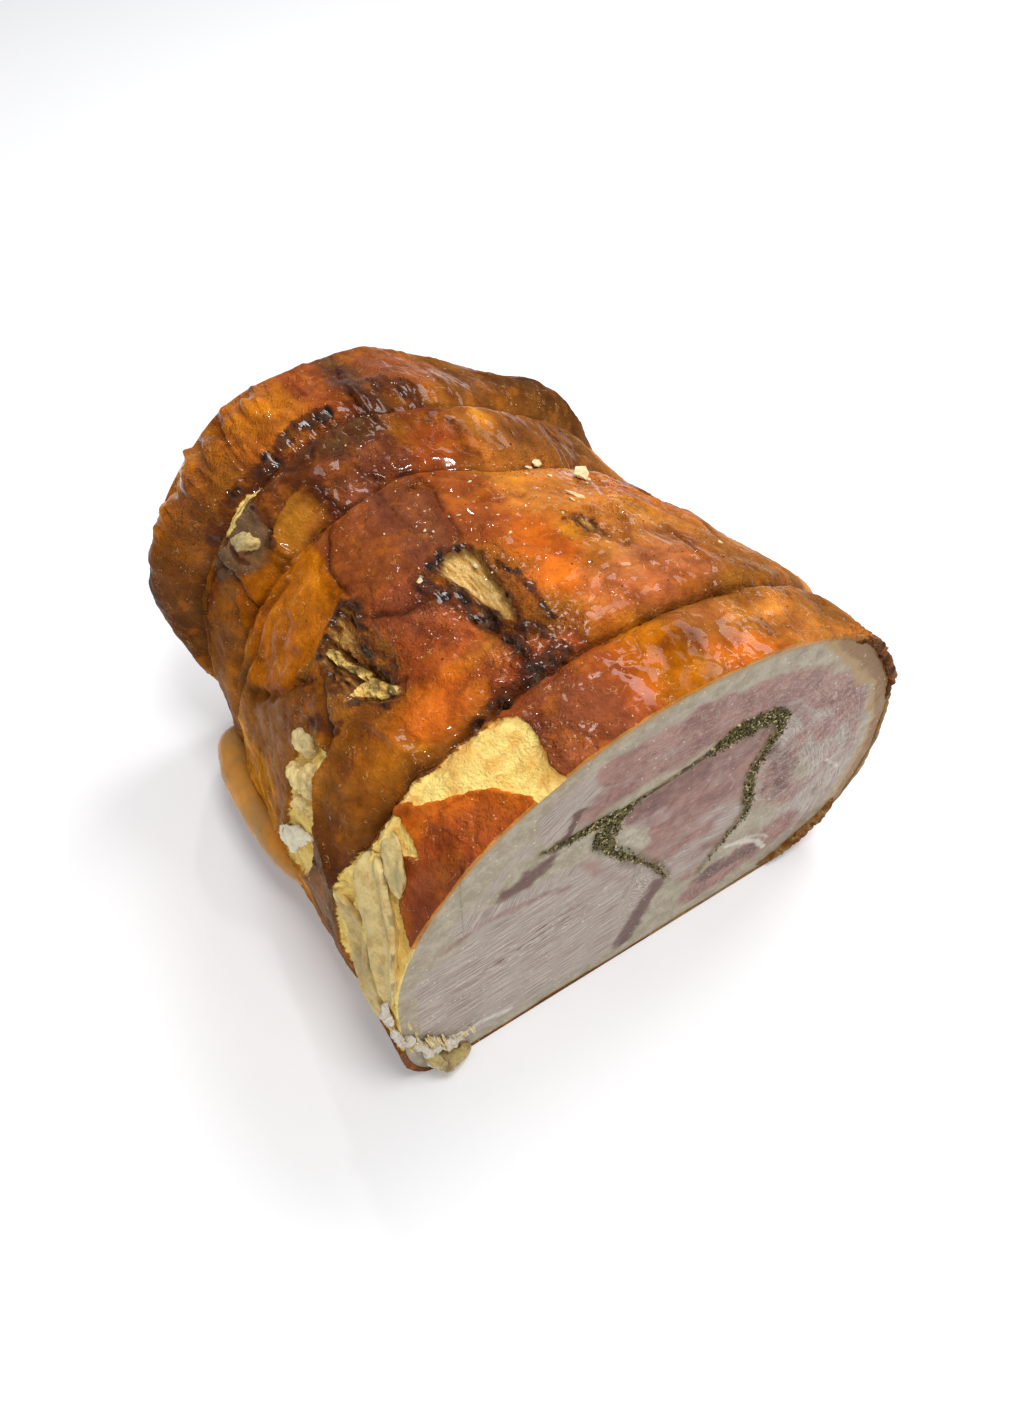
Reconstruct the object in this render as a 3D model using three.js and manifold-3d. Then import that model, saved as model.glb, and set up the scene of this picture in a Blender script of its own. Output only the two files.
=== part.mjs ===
// Half a porchetta: pork belly rolled round its loin with a seam of chopped herbs, tied, roasted
// and cut across the middle. The cut face is the plane y = 0 and looks along -Y, the roast end is
// the far one, and the roll rests flat on its underside. All sizes are in millimetres.

import * as THREE from "three";
import { mergeVertices } from "three/addons/utils/BufferGeometryUtils.js";
import Module from "manifold-3d";

const wasm = await Module();
wasm.setup();

// ---------------------------------------------------------------- driving dimensions
const LENGTH = 220; // from the cut face to the start of the roast end, along the axis
const AXIS_HEIGHT = 60; // of the roll's axis, the widest level, over the board
const UNDERSIDE_DEPTH = 75; // how far the section would reach below the axis if it were not flattened
const BASE_BLEND = 6; // height over which the sides turn into the flat underside
const SKIN_SIDES = 70; // facets round the roll
const ROW_PITCH = 7; // spacing of the rings of facets along the roll
const CLEARANCE = 0.3; // gap that keeps touching layers apart

// The section at stations along the roll. "left" and "right" are half widths at the axis, "crown"
// is the height over the board, and the four fullness exponents (2 is an ellipse, more is
// squarer) belong to the upper left, upper right, lower left and lower right quarters.
const STATIONS = [
  { y: 0, left: 118, right: 115, crown: 165, full: [2.05, 2.25, 4.5, 2.3] },
  { y: 32, left: 118, right: 117, crown: 168, full: [2.3, 2.13, 4.2, 2.5] },
  { y: 80, left: 118, right: 113, crown: 167, full: [2.35, 1.9, 3.8, 2.5] },
  { y: 125, left: 113, right: 110, crown: 165, full: [2.25, 1.68, 3.6, 2.5] },
  { y: 152, left: 109, right: 111, crown: 160, full: [2.2, 1.58, 3, 2.5] },
  { y: 183, left: 107, right: 112, crown: 170, full: [2.3, 1.45, 1.7, 2.5] },
  { y: LENGTH, left: 106, right: 107, crown: 163, full: [2.1, 1.42, 1.7, 2.5] },
];

// Grooves pressed by the strings. A slipped string lies "slip" nearer to the cut face on the
// right side, and crosses over between the angles "from" and "to".
const STRINGS = [
  { y: 31, slip: 0, from: 90, to: 80, depth: 4, half: 4.5 },
  { y: 150, slip: 20, from: 106, to: 78, depth: 4.5, half: 5 },
  { y: 182, slip: 14, from: 112, to: 84, depth: 6, half: 5.5 },
];
const SLIP_START = 95; // no slip nearer to the cut face than this

// Swellings and hollows of the skin: angle round the axis (0 is right, 90 the crown), place along
// the roll, half spans of both, and height, which is negative for a hollow.
const SWELLINGS = {
  farShoulderRight: { angle: 43, y: 206, spread: 19, half: 16, height: 14 },
  farShoulderLeft: { angle: 153, y: 206, spread: 22, half: 18, height: 18 },
  farCrown: { angle: 122, y: 214, spread: 15, half: 14, height: 7 },
  turnedRim: { angle: 196, y: 125, spread: 12, half: 30, height: 3 },
  skinTongue: { angle: 151, y: 55, spread: 12, half: 14, height: 4 },
  tongueHollow: { angle: 170, y: 60, spread: 7, half: 16, height: -3 },
  crownGash: { angle: 109, y: 74, spread: 5.5, half: 20, height: -6 },
  sideGash: { angle: 130, y: 80, spread: 4.5, half: 17, height: -5 },
  tornSkin: { angle: 124, y: 14, spread: 7, half: 13, height: -2.5 },
  burntDip: { angle: 110, y: 168, spread: 9, half: 8, height: -2.5 },
};

// The roast end leans: it reaches furthest at the crown and on the left.
const END = { foot: -25, rise: 31, side: 11, corner: 5, start: 183, rim: 9, dome: 4 };

// Herb seam in the cut face, as [x, z, half thickness] from its right end over the loin and down
// to its left end, and the tail that leaves it to the left.
const SEAM = [
  [22, 33, 1.2], [27, 42, 1.6], [35, 53, 2.4], [41, 66, 2.4], [37.5, 80, 2.2], [38.5, 92, 2.3],
  [44, 103, 2.6], [47.5, 112, 2.8], [44, 120, 3], [35, 123, 3.1], [20, 124.5, 3], [10, 120.5, 1.8],
  [-5, 119, 1.6], [-18, 118, 1.7], [-26, 114, 3], [-30.5, 104, 4], [-27, 94, 2.2], [-20, 84, 1.8],
  [-9, 70, 1.6], [-2, 59, 1.4], [4, 47, 1.2],
];
const SEAM_TAIL = [[-26, 116, 2.4], [-36, 116.5, 1.8], [-46, 116, 1.6], [-57, 117.5, 1]];
const LOIN_SAG = 9; // how far the loin's open underside bows down between the seam's ends
const SEAM_STEPS = 44; // segments along the seam
const TAIL_STEPS = 8;
// Towards the roast end the whole filling shrinks by this share and drifts by these amounts.
const FILLING_DRIFT = { shrink: 0.1, x: -5, z: 2, steps: 4 };

// The rim of the skin that is turned under along the left side, as a roll that runs along these
// points, with both ends buried.
const RIM_PATH = [
  [-92, 176, 32], [-105, 168, 33], [-112, 154, 33], [-115, 136, 33], [-115.5, 116, 34],
  [-113, 98, 35], [-104, 84, 37], [-90, 78, 38],
];
const RIM_RADIUS = 7.5;
const RIM_SIDES = 10;
const RIM_STEPS = 14;

const COLOURS = { skin: "#8f4a1c", herbs: "#4a4a33", loin: "#a58b85" };

// ---------------------------------------------------------------- small helpers
const radians = THREE.MathUtils.degToRad;

function smooth(value) {
  const t = THREE.MathUtils.clamp(value, 0, 1);
  return t * t * (3 - 2 * t);
}

// A value of the stations at a place along the roll, eased from one station to the next.
function along(y, read) {
  let k = 0;
  while (k < STATIONS.length - 2 && STATIONS[k + 1].y <= y) k += 1;
  const a = STATIONS[k];
  const b = STATIONS[k + 1];
  return THREE.MathUtils.lerp(read(a), read(b), smooth((y - a.y) / (b.y - a.y)));
}

function angleBetween(a, b) {
  return THREE.MathUtils.euclideanModulo(a - b + 180, 360) - 180;
}

// ---------------------------------------------------------------- the skin's surface
// Distance from the axis to the plain section, at an angle in degrees.
function sectionRadius(angle, y) {
  const c = Math.cos(radians(angle));
  const s = Math.sin(radians(angle));
  const quarter = (s > 0 ? 0 : 2) + (c > 0 ? 1 : 0);
  const fullness = along(y, (station) => station.full[quarter]);
  const halfWidth = along(y, (station) => (c > 0 ? station.right : station.left));
  const reach = s > 0 ? along(y, (station) => station.crown) - AXIS_HEIGHT : UNDERSIDE_DEPTH;
  const sum = (Math.abs(c) / halfWidth) ** fullness + (Math.abs(s) / reach) ** fullness;
  return sum ** (-1 / fullness);
}

// How far the skin lies outside the plain section: string grooves, swellings and hollows.
function relief(angle, y) {
  let height = 0;
  for (const string of STRINGS) {
    height -= string.depth * Math.exp(-(((y - string.y) / string.half) ** 2));
  }
  for (const swelling of Object.values(SWELLINGS)) {
    const round = angleBetween(angle, swelling.angle) / swelling.spread;
    const lengthwise = (y - swelling.y) / swelling.half;
    height += swelling.height * Math.exp(-round * round - lengthwise * lengthwise);
  }
  return height;
}

// How much nearer to the cut face a ring lies because its string has slipped.
function slip(angle, y) {
  const side = angleBetween(angle, 90) + 90;
  const underside = smooth((side + 80) / 50);
  const amounts = STRINGS.map((string) => {
    const crossed = smooth((string.from - side) / (string.from - string.to));
    return { y: string.y, slip: string.slip * crossed * underside };
  });
  const anchors = [{ y: SLIP_START, slip: 0 }, ...amounts.slice(1), { y: LENGTH, slip: 0 }];
  for (let k = 1; k < anchors.length; k += 1) {
    const a = anchors[k - 1];
    const b = anchors[k];
    if (y > a.y && y <= b.y) return THREE.MathUtils.lerp(a.slip, b.slip, (y - a.y) / (b.y - a.y));
  }
  return 0;
}

// Flattens everything below the board's level, with a soft turn.
function restHeight(z) {
  if (z >= BASE_BLEND) return z;
  if (z <= -BASE_BLEND) return 0;
  return (z + BASE_BLEND) ** 2 / (4 * BASE_BLEND);
}

// A point of the roll's surface. "inset" pulls the ring in towards the axis.
function surfacePoint(angle, y, inset) {
  const radius = Math.max(sectionRadius(angle, y) + relief(angle, y) - inset, 0);
  const x = radius * Math.cos(radians(angle));
  const z = restHeight(AXIS_HEIGHT + radius * Math.sin(radians(angle)));
  const lean = smooth((y - END.start) / (LENGTH - END.start));
  const reach = END.foot + (END.rise * z) / 165 - END.corner * (x / 110) ** 2 - (END.side * x) / 110;
  return new THREE.Vector3(x, y - slip(angle, y) + lean * reach, z);
}

// ---------------------------------------------------------------- solids and geometries
function toSolid(geometry) {
  const plain = geometry.clone();
  plain.deleteAttribute("normal");
  plain.deleteAttribute("uv");
  const merged = mergeVertices(plain, 1e-4);
  const mesh = new wasm.Mesh({
    numProp: 3,
    vertProperties: new Float32Array(merged.attributes.position.array),
    triVerts: new Uint32Array(merged.index.array),
  });
  return new wasm.Manifold(mesh);
}

function toGeometry(solid) {
  const mesh = solid.getMesh();
  const geometry = new THREE.BufferGeometry();
  geometry.setAttribute("position", new THREE.BufferAttribute(new Float32Array(mesh.vertProperties), 3));
  geometry.setIndex(new THREE.BufferAttribute(new Uint32Array(mesh.triVerts), 1));
  geometry.computeVertexNormals();
  return geometry;
}

// Rings of facets along the roll: an even pitch, with five rings across each string groove.
function ringPlaces() {
  const offsets = [-1.2, -0.5, 0, 0.5, 1.2];
  const grooved = STRINGS.flatMap((string) => offsets.map((k) => string.y + k * string.half));
  const count = Math.round(LENGTH / ROW_PITCH);
  const even = Array.from({ length: count + 1 }, (_, k) => (k * LENGTH) / count);
  const kept = even.filter((y) => grooved.every((groove) => Math.abs(groove - y) > ROW_PITCH * 0.4));
  return [...kept, ...grooved].sort((a, b) => a - b);
}

// The whole roll: a cylinder whose rings are moved onto the surface. The last rings turn inwards
// over the roast end's round rim.
function makeRoll() {
  const places = ringPlaces();
  const rimRings = 3;
  const rings = places.map((y) => ({ y, inset: 0, push: 0 }));
  for (let k = 1; k <= rimRings; k += 1) {
    const turn = radians((90 * k) / rimRings);
    const inset = END.rim * (1 - Math.cos(turn));
    rings.push({ y: LENGTH, inset, push: END.rim * Math.sin(turn) });
  }
  const last = rings.length - 1;
  const geometry = new THREE.CylinderGeometry(1, 1, last, SKIN_SIDES, last);
  const position = geometry.attributes.position;
  for (let k = 0; k < position.count; k += 1) {
    const ring = rings[Math.round(last / 2 - position.getY(k))];
    const isCentre = Math.hypot(position.getX(k), position.getZ(k)) < 0.5;
    const angle = THREE.MathUtils.radToDeg(Math.atan2(position.getX(k), position.getZ(k)));
    const point = surfacePoint(angle, ring.y, isCentre ? Infinity : ring.inset);
    const dome = isCentre && ring.y > 0 ? END.dome : 0;
    position.setXYZ(k, point.x, point.y + ring.push + dome, point.z);
  }
  return toSolid(geometry);
}

// The turned rim of the skin: a round roll along its path.
function makeTurnedRim() {
  const path = new THREE.CatmullRomCurve3(RIM_PATH.map((point) => new THREE.Vector3(...point)));
  const section = new THREE.Shape();
  section.absellipse(0, 0, RIM_RADIUS, RIM_RADIUS, 0, 2 * Math.PI, false, 0);
  const geometry = new THREE.ExtrudeGeometry(section, {
    steps: RIM_STEPS,
    curveSegments: RIM_SIDES,
    bevelEnabled: false,
    extrudePath: path,
  });
  return toSolid(geometry);
}

// One side of a band: its middle line moved sideways by the half thickness and "extra".
function bandSide(points, steps, side, extra, overrun) {
  const middle = new THREE.SplineCurve(points.map(([x, z]) => new THREE.Vector2(x, z)));
  const widths = points.map((point) => point[2]);
  return Array.from({ length: steps + 1 }, (_, k) => {
    const t = k / steps;
    const place = t * (widths.length - 1);
    const low = Math.min(Math.floor(place), widths.length - 2);
    const half = THREE.MathUtils.lerp(widths[low], widths[low + 1], place - low) + extra;
    const tangent = middle.getTangent(t);
    const across = new THREE.Vector2(-tangent.y, tangent.x).multiplyScalar(side * half);
    const end = k === 0 ? -overrun : k === steps ? overrun : 0;
    return middle.getPoint(t).add(across).addScaledVector(tangent, end);
  });
}

function bandOutline(points, steps, extra, overrun) {
  const outer = bandSide(points, steps, -1, extra, overrun);
  const inner = bandSide(points, steps, 1, extra, overrun);
  return [...outer, ...inner.reverse()];
}

// The open underside of the loin between the seam's two ends, bowed down.
function underside(from, to, drop) {
  const sag = new THREE.Vector2(0, -LOIN_SAG - drop);
  const middle = from.clone().add(to).multiplyScalar(0.5).add(sag);
  return new THREE.QuadraticBezierCurve(from, middle, to).getPoints(6).slice(1, -1);
}

// A prism of the cut face's outline that runs through the roll and drifts with the filling.
function makePrism(outline) {
  const start = -20;
  const depth = LENGTH + 60;
  const geometry = new THREE.ExtrudeGeometry(new THREE.Shape(outline), {
    depth,
    steps: FILLING_DRIFT.steps,
    bevelEnabled: false,
  });
  const position = geometry.attributes.position;
  for (let k = 0; k < position.count; k += 1) {
    const y = start + depth - position.getZ(k);
    const share = smooth(y / LENGTH);
    const scale = 1 - FILLING_DRIFT.shrink * share;
    const x = position.getX(k) * scale + FILLING_DRIFT.x * share;
    const z = AXIS_HEIGHT + (position.getY(k) - AXIS_HEIGHT) * scale + FILLING_DRIFT.z * share;
    position.setXYZ(k, x, y, z);
  }
  return toSolid(geometry);
}

// ---------------------------------------------------------------- the pieces
function makeHerbs(roll) {
  const seam = makePrism(bandOutline(SEAM, SEAM_STEPS, 0, 0));
  const tail = makePrism(bandOutline(SEAM_TAIL, TAIL_STEPS, 0, 0));
  return seam.add(tail).intersect(roll);
}

function makeLoin(roll) {
  const side = bandSide(SEAM, SEAM_STEPS, 1, CLEARANCE, 0);
  const open = underside(side[side.length - 1], side[0], 0);
  return makePrism([...side, ...open]).intersect(roll);
}

// The passage for herbs and loin, a clearance wider than both.
function makePassage() {
  const side = bandSide(SEAM, SEAM_STEPS, -1, CLEARANCE, CLEARANCE);
  const open = underside(side[side.length - 1], side[0], CLEARANCE * 3);
  const tail = bandOutline(SEAM_TAIL, TAIL_STEPS, CLEARANCE, CLEARANCE);
  return makePrism([...side, ...open]).add(makePrism(tail));
}

function makeNode(name, solid, colour, roughness) {
  const material = new THREE.MeshStandardMaterial({ color: colour, roughness, metalness: 0 });
  const mesh = new THREE.Mesh(toGeometry(solid), material);
  mesh.name = name;
  return mesh;
}

const roll = makeRoll();
const wrap = roll.add(makeTurnedRim()).subtract(makePassage());

const roast = new THREE.Group();
roast.add(makeNode("belly_wrap", wrap, COLOURS.skin, 0.35));
roast.add(makeNode("herb_filling", makeHerbs(roll), COLOURS.herbs, 0.8));
roast.add(makeNode("loin_core", makeLoin(roll), COLOURS.loin, 0.5));

// The origin is the middle of the underside.
const box = new THREE.Box3().setFromObject(roast);
const middle = box.getCenter(new THREE.Vector3());
roast.position.set(-middle.x, -middle.y, -box.min.z);

const group = new THREE.Group();
group.add(roast);

export default group;
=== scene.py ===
"""Looks for half of a rolled, roasted porchetta: browned skin, cut face, loin and herb seam.

The roast's own frame is in millimetres: x across the cut face, y from the cut towards the
roast end, z up from the board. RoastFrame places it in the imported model, in metres.
"""

import logging
import math
from collections.abc import Callable
from dataclasses import dataclass, field, replace
from enum import Enum

import bmesh
import bpy
import numpy as np
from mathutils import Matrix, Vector

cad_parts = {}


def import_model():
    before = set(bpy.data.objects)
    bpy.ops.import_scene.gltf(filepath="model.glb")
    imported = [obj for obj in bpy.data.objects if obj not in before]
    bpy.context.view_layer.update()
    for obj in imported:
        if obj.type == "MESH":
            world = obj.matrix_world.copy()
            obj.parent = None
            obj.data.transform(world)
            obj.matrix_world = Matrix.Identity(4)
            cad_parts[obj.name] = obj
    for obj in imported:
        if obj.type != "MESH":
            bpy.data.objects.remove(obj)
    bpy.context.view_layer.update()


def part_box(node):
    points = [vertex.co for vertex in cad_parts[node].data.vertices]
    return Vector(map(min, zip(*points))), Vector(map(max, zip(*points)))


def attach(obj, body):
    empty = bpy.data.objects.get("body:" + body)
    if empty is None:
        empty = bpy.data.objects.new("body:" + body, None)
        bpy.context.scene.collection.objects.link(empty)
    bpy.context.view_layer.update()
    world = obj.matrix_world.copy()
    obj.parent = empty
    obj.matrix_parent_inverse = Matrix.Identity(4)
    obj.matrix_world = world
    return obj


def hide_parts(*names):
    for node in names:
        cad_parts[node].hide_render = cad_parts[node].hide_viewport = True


log = logging.getLogger("porchetta")

Array = np.ndarray
Path2 = tuple[tuple[float, float], ...]
Path3 = tuple[tuple[float, float, float], ...]
Pair = tuple[Array, Array]
Marks = dict[str, Array]
Piece = bpy.types.Object
Material = bpy.types.Material

MM = 0.001
BODY = "root"

# ---- the roast's form
LENGTH = 220.0  # of the skin, before the roast end leans and its rim turns in
AXIS_HEIGHT = 60.0
AXIS_FROM_LEFT = 123.1  # from the widest point on the left to the axis
UNDERSIDE_DEPTH = 75.0
HALF_WIDTH = 110.0  # about, of the roast end
CROWN = 165.0  # the same, its height
BASE_BLEND = 6.0
SLIP_START = 95.0
ARC = 1.9  # mm of skin for each degree round the axis
SEAM_ANGLE = -90.0  # the skin's grids close on the underside
RIND = 1.9  # thickness of the rind at the cut
UNDER_RIND = 1.1  # the same on the pressed underside
SOCKET = 6.0  # depth of the belly's hollow for loin and herbs
PLATE_DEPTH = 14.0
TO_AXIS = 150.0  # deeper than any skin, so that a ring ends on the axis
WELD = 2e-6


@dataclass(frozen=True)
class Station:
    """Half widths, crown height and quarter fullness of the section at one place."""

    y: float
    left: float
    right: float
    crown: float
    upper_left: float
    upper_right: float
    lower_left: float
    lower_right: float


@dataclass(frozen=True)
class StringGroove:
    """The groove of one string round the roll."""

    y: float
    slip: float
    before: float
    after: float
    depth: float
    half: float


@dataclass(frozen=True)
class Swelling:
    """A soft bump, or a hollow where height is negative."""

    angle: float
    y: float
    spread: float
    half: float
    height: float


STATIONS = (
    Station(0, 118, 115, 165, 2.05, 2.25, 4.5, 2.3),
    Station(32, 118, 117, 168, 2.3, 2.13, 4.2, 2.5),
    Station(80, 118, 113, 167, 2.35, 1.9, 3.8, 2.5),
    Station(125, 113, 110, 165, 2.25, 1.68, 3.6, 2.5),
    Station(152, 109, 111, 160, 2.2, 1.58, 3.0, 2.5),
    Station(183, 107, 112, 170, 2.3, 1.45, 1.7, 2.5),
    Station(LENGTH, 106, 107, 163, 2.1, 1.42, 1.7, 2.5),
)
STRINGS = (
    StringGroove(33.5, 0, 90, 80, 4.0, 4.5),
    StringGroove(153, 19.4, 106, 78, 4.5, 5.0),
    StringGroove(187, 12.2, 112, 84, 6.0, 5.5),
)
SWELLINGS = [
    Swelling(*row)
    for row in (
        (43, 206, 19, 16, 14), (153, 206, 22, 18, 18), (122, 214, 15, 14, 7), (196, 125, 12, 30, 3),
        (151, 55, 12, 14, 4), (170, 60, 7, 16, -3), (109, 74, 5.5, 20, -6), (130, 80, 4.5, 17, -5),
        (124, 14, 7, 13, -2.5), (110, 168, 9, 8, -2.5),
    )
]


@dataclass(frozen=True)
class RoastEnd:
    """How the roast end leans, curves and turns in over its rim."""

    foot: float = -25
    rise: float = 31
    side: float = 11
    corner: float = 5
    start: float = 183
    rim: float = 9
    dome: float = 4


def ease(value: Array) -> Array:
    """A smooth step from 0 to 1."""
    share = np.clip(value, 0, 1)
    return share * share * (3 - 2 * share)


def mix(low: Array, high: Array, share: Array) -> Array:
    """Low at share 0, high at share 1."""
    return low + (high - low) * share


def turn(a: Array, b: Array) -> Array:
    """The signed turn from angle b to angle a, in degrees."""
    return (a - b + 180) % 360 - 180


def bell(value: Array) -> Array:
    """A soft bump of height 1 and half width 1."""
    return np.exp(-value * value)


def linear(red: float, green: float, blue: float) -> tuple[float, float, float]:
    """A colour's light values from its 0 to 255 screen values."""

    def one(level: float) -> float:
        share = level / 255
        return share / 12.92 if share <= 0.04045 else ((share + 0.055) / 1.055) ** 2.4

    return one(red), one(green), one(blue)


class RollForm:
    """The plain outer form of the rolled joint, as the solids have it."""

    def __init__(self) -> None:
        """Reads the stations into columns."""
        self.end = RoastEnd()
        self.columns = np.array([list(vars(s).values()) for s in STATIONS], float)

    def _along(self, y: Array, column: int) -> Array:
        """A station value at y, eased between stations."""
        places = self.columns[:, 0]
        k = np.clip(np.searchsorted(places, y, side="right") - 1, 0, len(places) - 2)
        share = ease((y - places[k]) / (places[k + 1] - places[k]))
        return mix(self.columns[k, column], self.columns[k + 1, column], share)

    def _plain_radius(self, angle: Array, y: Array) -> Array:
        """Distance from the axis to the section without grooves or bumps."""
        c, s = np.cos(np.radians(angle)), np.sin(np.radians(angle))
        upper = np.where(c > 0, self._along(y, 5), self._along(y, 4))
        lower = np.where(c > 0, self._along(y, 7), self._along(y, 6))
        full = np.where(s > 0, upper, lower)
        half = np.where(c > 0, self._along(y, 2), self._along(y, 1))
        reach = np.where(s > 0, self._along(y, 3) - AXIS_HEIGHT, UNDERSIDE_DEPTH)
        return ((np.abs(c) / half) ** full + (np.abs(s) / reach) ** full) ** (-1 / full)

    @staticmethod
    def _relief(angle: Array, y: Array) -> Array:
        """Height of the grooves and swellings over the plain section."""
        height = -sum(g.depth * bell((y - g.y) / g.half) for g in STRINGS)
        for bump in SWELLINGS:
            across = bell(turn(angle, bump.angle) / bump.spread)
            height = height + bump.height * across * bell((y - bump.y) / bump.half)
        return height

    @staticmethod
    def slip(angle: Array, y: Array) -> Array:
        """How much nearer to the cut a ring lies because its string has slipped."""
        side = turn(angle, 90) + 90
        under = ease((side + 80) / 50)
        anchors = [(SLIP_START, 0.0 * side)]
        for groove in STRINGS[1:]:
            crossed = ease((groove.before - side) / (groove.before - groove.after))
            anchors.append((groove.y, groove.slip * crossed * under))
        anchors.append((LENGTH, 0.0 * side))
        amount = 0.0 * (side + y)
        for (y0, low), (y1, high) in zip(anchors, anchors[1:]):
            inside = (y > y0) & (y <= y1)
            amount = np.where(inside, mix(low, high, (y - y0) / (y1 - y0)), amount)
        return amount

    def point(self, angle: Array, y: Array, lift: Array = 0.0, push: Array = 0.0) -> Array:
        """Points of the surface, in the roast's millimetres.

        Args:
            angle: degrees round the axis, from the right over the top.
            y: place along the skin.
            lift: height over the form, negative towards the axis.
            push: extra distance towards the roast end.

        Returns:
            An array with a last axis of x, y, z.
        """
        angle, y, lift = np.broadcast_arrays(angle, y, lift)
        radius = np.maximum(self._plain_radius(angle, y) + self._relief(angle, y) + lift, 0)
        x = radius * np.cos(np.radians(angle))
        z = AXIS_HEIGHT + radius * np.sin(np.radians(angle))
        soft = (z + BASE_BLEND) ** 2 / (4 * BASE_BLEND)
        z = np.where(z >= BASE_BLEND, z, np.where(z <= -BASE_BLEND, 0, soft))
        end = self.end
        lean = ease((y - end.start) / (LENGTH - end.start))
        reach = end.foot + end.rise * z / CROWN
        reach = reach - end.corner * (x / HALF_WIDTH) ** 2 - end.side * x / HALF_WIDTH
        return np.stack([x, y - self.slip(angle, y) + lean * reach + push, z], -1)

    def cut_outline(self, inset: float) -> Pair:
        """Direction and distance from the axis of the cut's outline, pulled in by inset."""
        angle = np.linspace(SEAM_ANGLE, SEAM_ANGLE + 360, 1441)
        rim = self.point(angle, 0.0 * angle, -inset)
        rim[:, 2] = np.maximum(rim[:, 2], UNDER_RIND)
        turned = np.arctan2(rim[:, 2] - AXIS_HEIGHT, rim[:, 0])
        order = np.argsort(turned)
        return turned[order], np.hypot(rim[:, 0], rim[:, 2] - AXIS_HEIGHT)[order]


class Lumpiness:
    """Seeded soft noise in three directions."""

    def __init__(self, seed: int) -> None:
        """Draws the lattice slopes."""
        draw = np.random.default_rng(seed)
        self.order = draw.permutation(256)
        slopes = draw.normal(size=(256, 3))
        self.slopes = slopes / np.linalg.norm(slopes, axis=1, keepdims=True)

    def at(self, x: Array, y: Array, z: Array = 0.0) -> Array:
        """Noise of about -1 to 1 with features of about one unit."""
        place = np.stack(np.broadcast_arrays(x, y, z), -1).astype(np.float32)
        cell = np.floor(place)
        part = place - cell
        cell = cell.astype(np.int64)
        fade = part * part * part * (part * (part * 6 - 15) + 10)
        total = np.zeros(place.shape[:-1], np.float32)
        for corner in range(8):
            step = np.array([corner & 1, corner >> 1 & 1, corner >> 2 & 1])
            key = self.order[(cell[..., 0] + step[0]) & 255]
            key = self.order[(key + cell[..., 1] + step[1]) & 255]
            key = self.order[(key + cell[..., 2] + step[2]) & 255]
            weight = np.where(step == 1, fade, 1 - fade).prod(-1)
            total += weight * ((part - step) * self.slopes[key]).sum(-1)
        return total * 1.7

    def layers(self, x: Array, y: Array, z: Array = 0.0, octaves: int = 3) -> Array:
        """Noise with finer and weaker layers added."""
        total, size, share = 0.0, 1.0, 1.0
        for _ in range(octaves):
            total = total + share * self.at(x * size, y * size, z * size + 7.3 * size)
            size, share = size * 2.03, share * 0.5
        return total


def path_gap(x: Array, y: Array, path: Path2) -> tuple[Array, Array, Array]:
    """How far points lie from an open path.

    Args:
        x: first coordinates.
        y: second coordinates.
        path: the path's corners.

    Returns:
        The distance, the place of the nearest point as a count of corners, and the side, which
        is 1 on the left of the path and -1 on the right.
    """
    best = np.full(np.broadcast(x, y).shape, 1e9)
    place = np.zeros(best.shape)
    side = np.ones(best.shape)
    for k, ((ax, ay), (bx, by)) in enumerate(zip(path, path[1:])):
        dx, dy = bx - ax, by - ay
        share = np.clip(((x - ax) * dx + (y - ay) * dy) / (dx * dx + dy * dy + 1e-9), 0, 1)
        gap = np.hypot(x - ax - share * dx, y - ay - share * dy)
        near = gap < best
        place = np.where(near, k + share, place)
        side = np.where(near, np.where(dx * (y - ay) > dy * (x - ax), 1, -1), side)
        best = np.minimum(best, gap)
    return best, place, side


def outline_gap(x: Array, y: Array, outline: Path2) -> Array:
    """Signed distance to a closed outline, negative inside."""
    closed = tuple(outline) + (outline[0],)
    gap = path_gap(x, y, closed)[0]
    inside = np.zeros(gap.shape, bool)
    for (ax, ay), (bx, by) in zip(closed, closed[1:]):
        if ay == by:
            continue
        crosses = (ay > y) != (by > y)
        inside ^= crosses & (x < (bx - ax) * (y - ay) / (by - ay) + ax)
    return np.where(inside, -gap, gap)


def smooth_path(points: Array, steps: int) -> Array:
    """A curve through points, as steps + 1 rows (Catmull-Rom)."""
    points = np.array(points, float)
    ends = np.vstack([2 * points[0] - points[1], points, 2 * points[-1] - points[-2]])
    place = np.linspace(0, len(points) - 1, steps + 1)
    k = np.minimum(place.astype(int), len(points) - 2)
    t = (place - k)[:, None]
    a, b, c, d = ends[k], ends[k + 1], ends[k + 2], ends[k + 3]
    return 0.5 * (
        2 * b + (c - a) * t + (2 * a - 5 * b + 4 * c - d) * t**2 + (3 * b - a - 3 * c + d) * t**3
    )


def spaced(start: float, stop: float, fine: tuple[float, float], steps: tuple[float, float]) -> Array:
    """Places from start to stop, closer together inside the fine stretch.

    Args:
        start: first place.
        stop: last place.
        fine: the stretch that needs the small step.
        steps: the small step and the large one.

    Returns:
        The places, in order.
    """
    dense = np.linspace(start, stop, 4001)
    inside = ease((dense - fine[0]) / 12 + 0.5) * ease((fine[1] - dense) / 12 + 0.5)
    density = mix(1 / steps[1], 1 / steps[0], inside)
    count = np.concatenate([[0], np.cumsum((density[1:] + density[:-1]) / 2 * np.diff(dense))])
    return np.interp(np.linspace(0, count[-1], int(round(count[-1])) + 1), count, dense)


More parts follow.
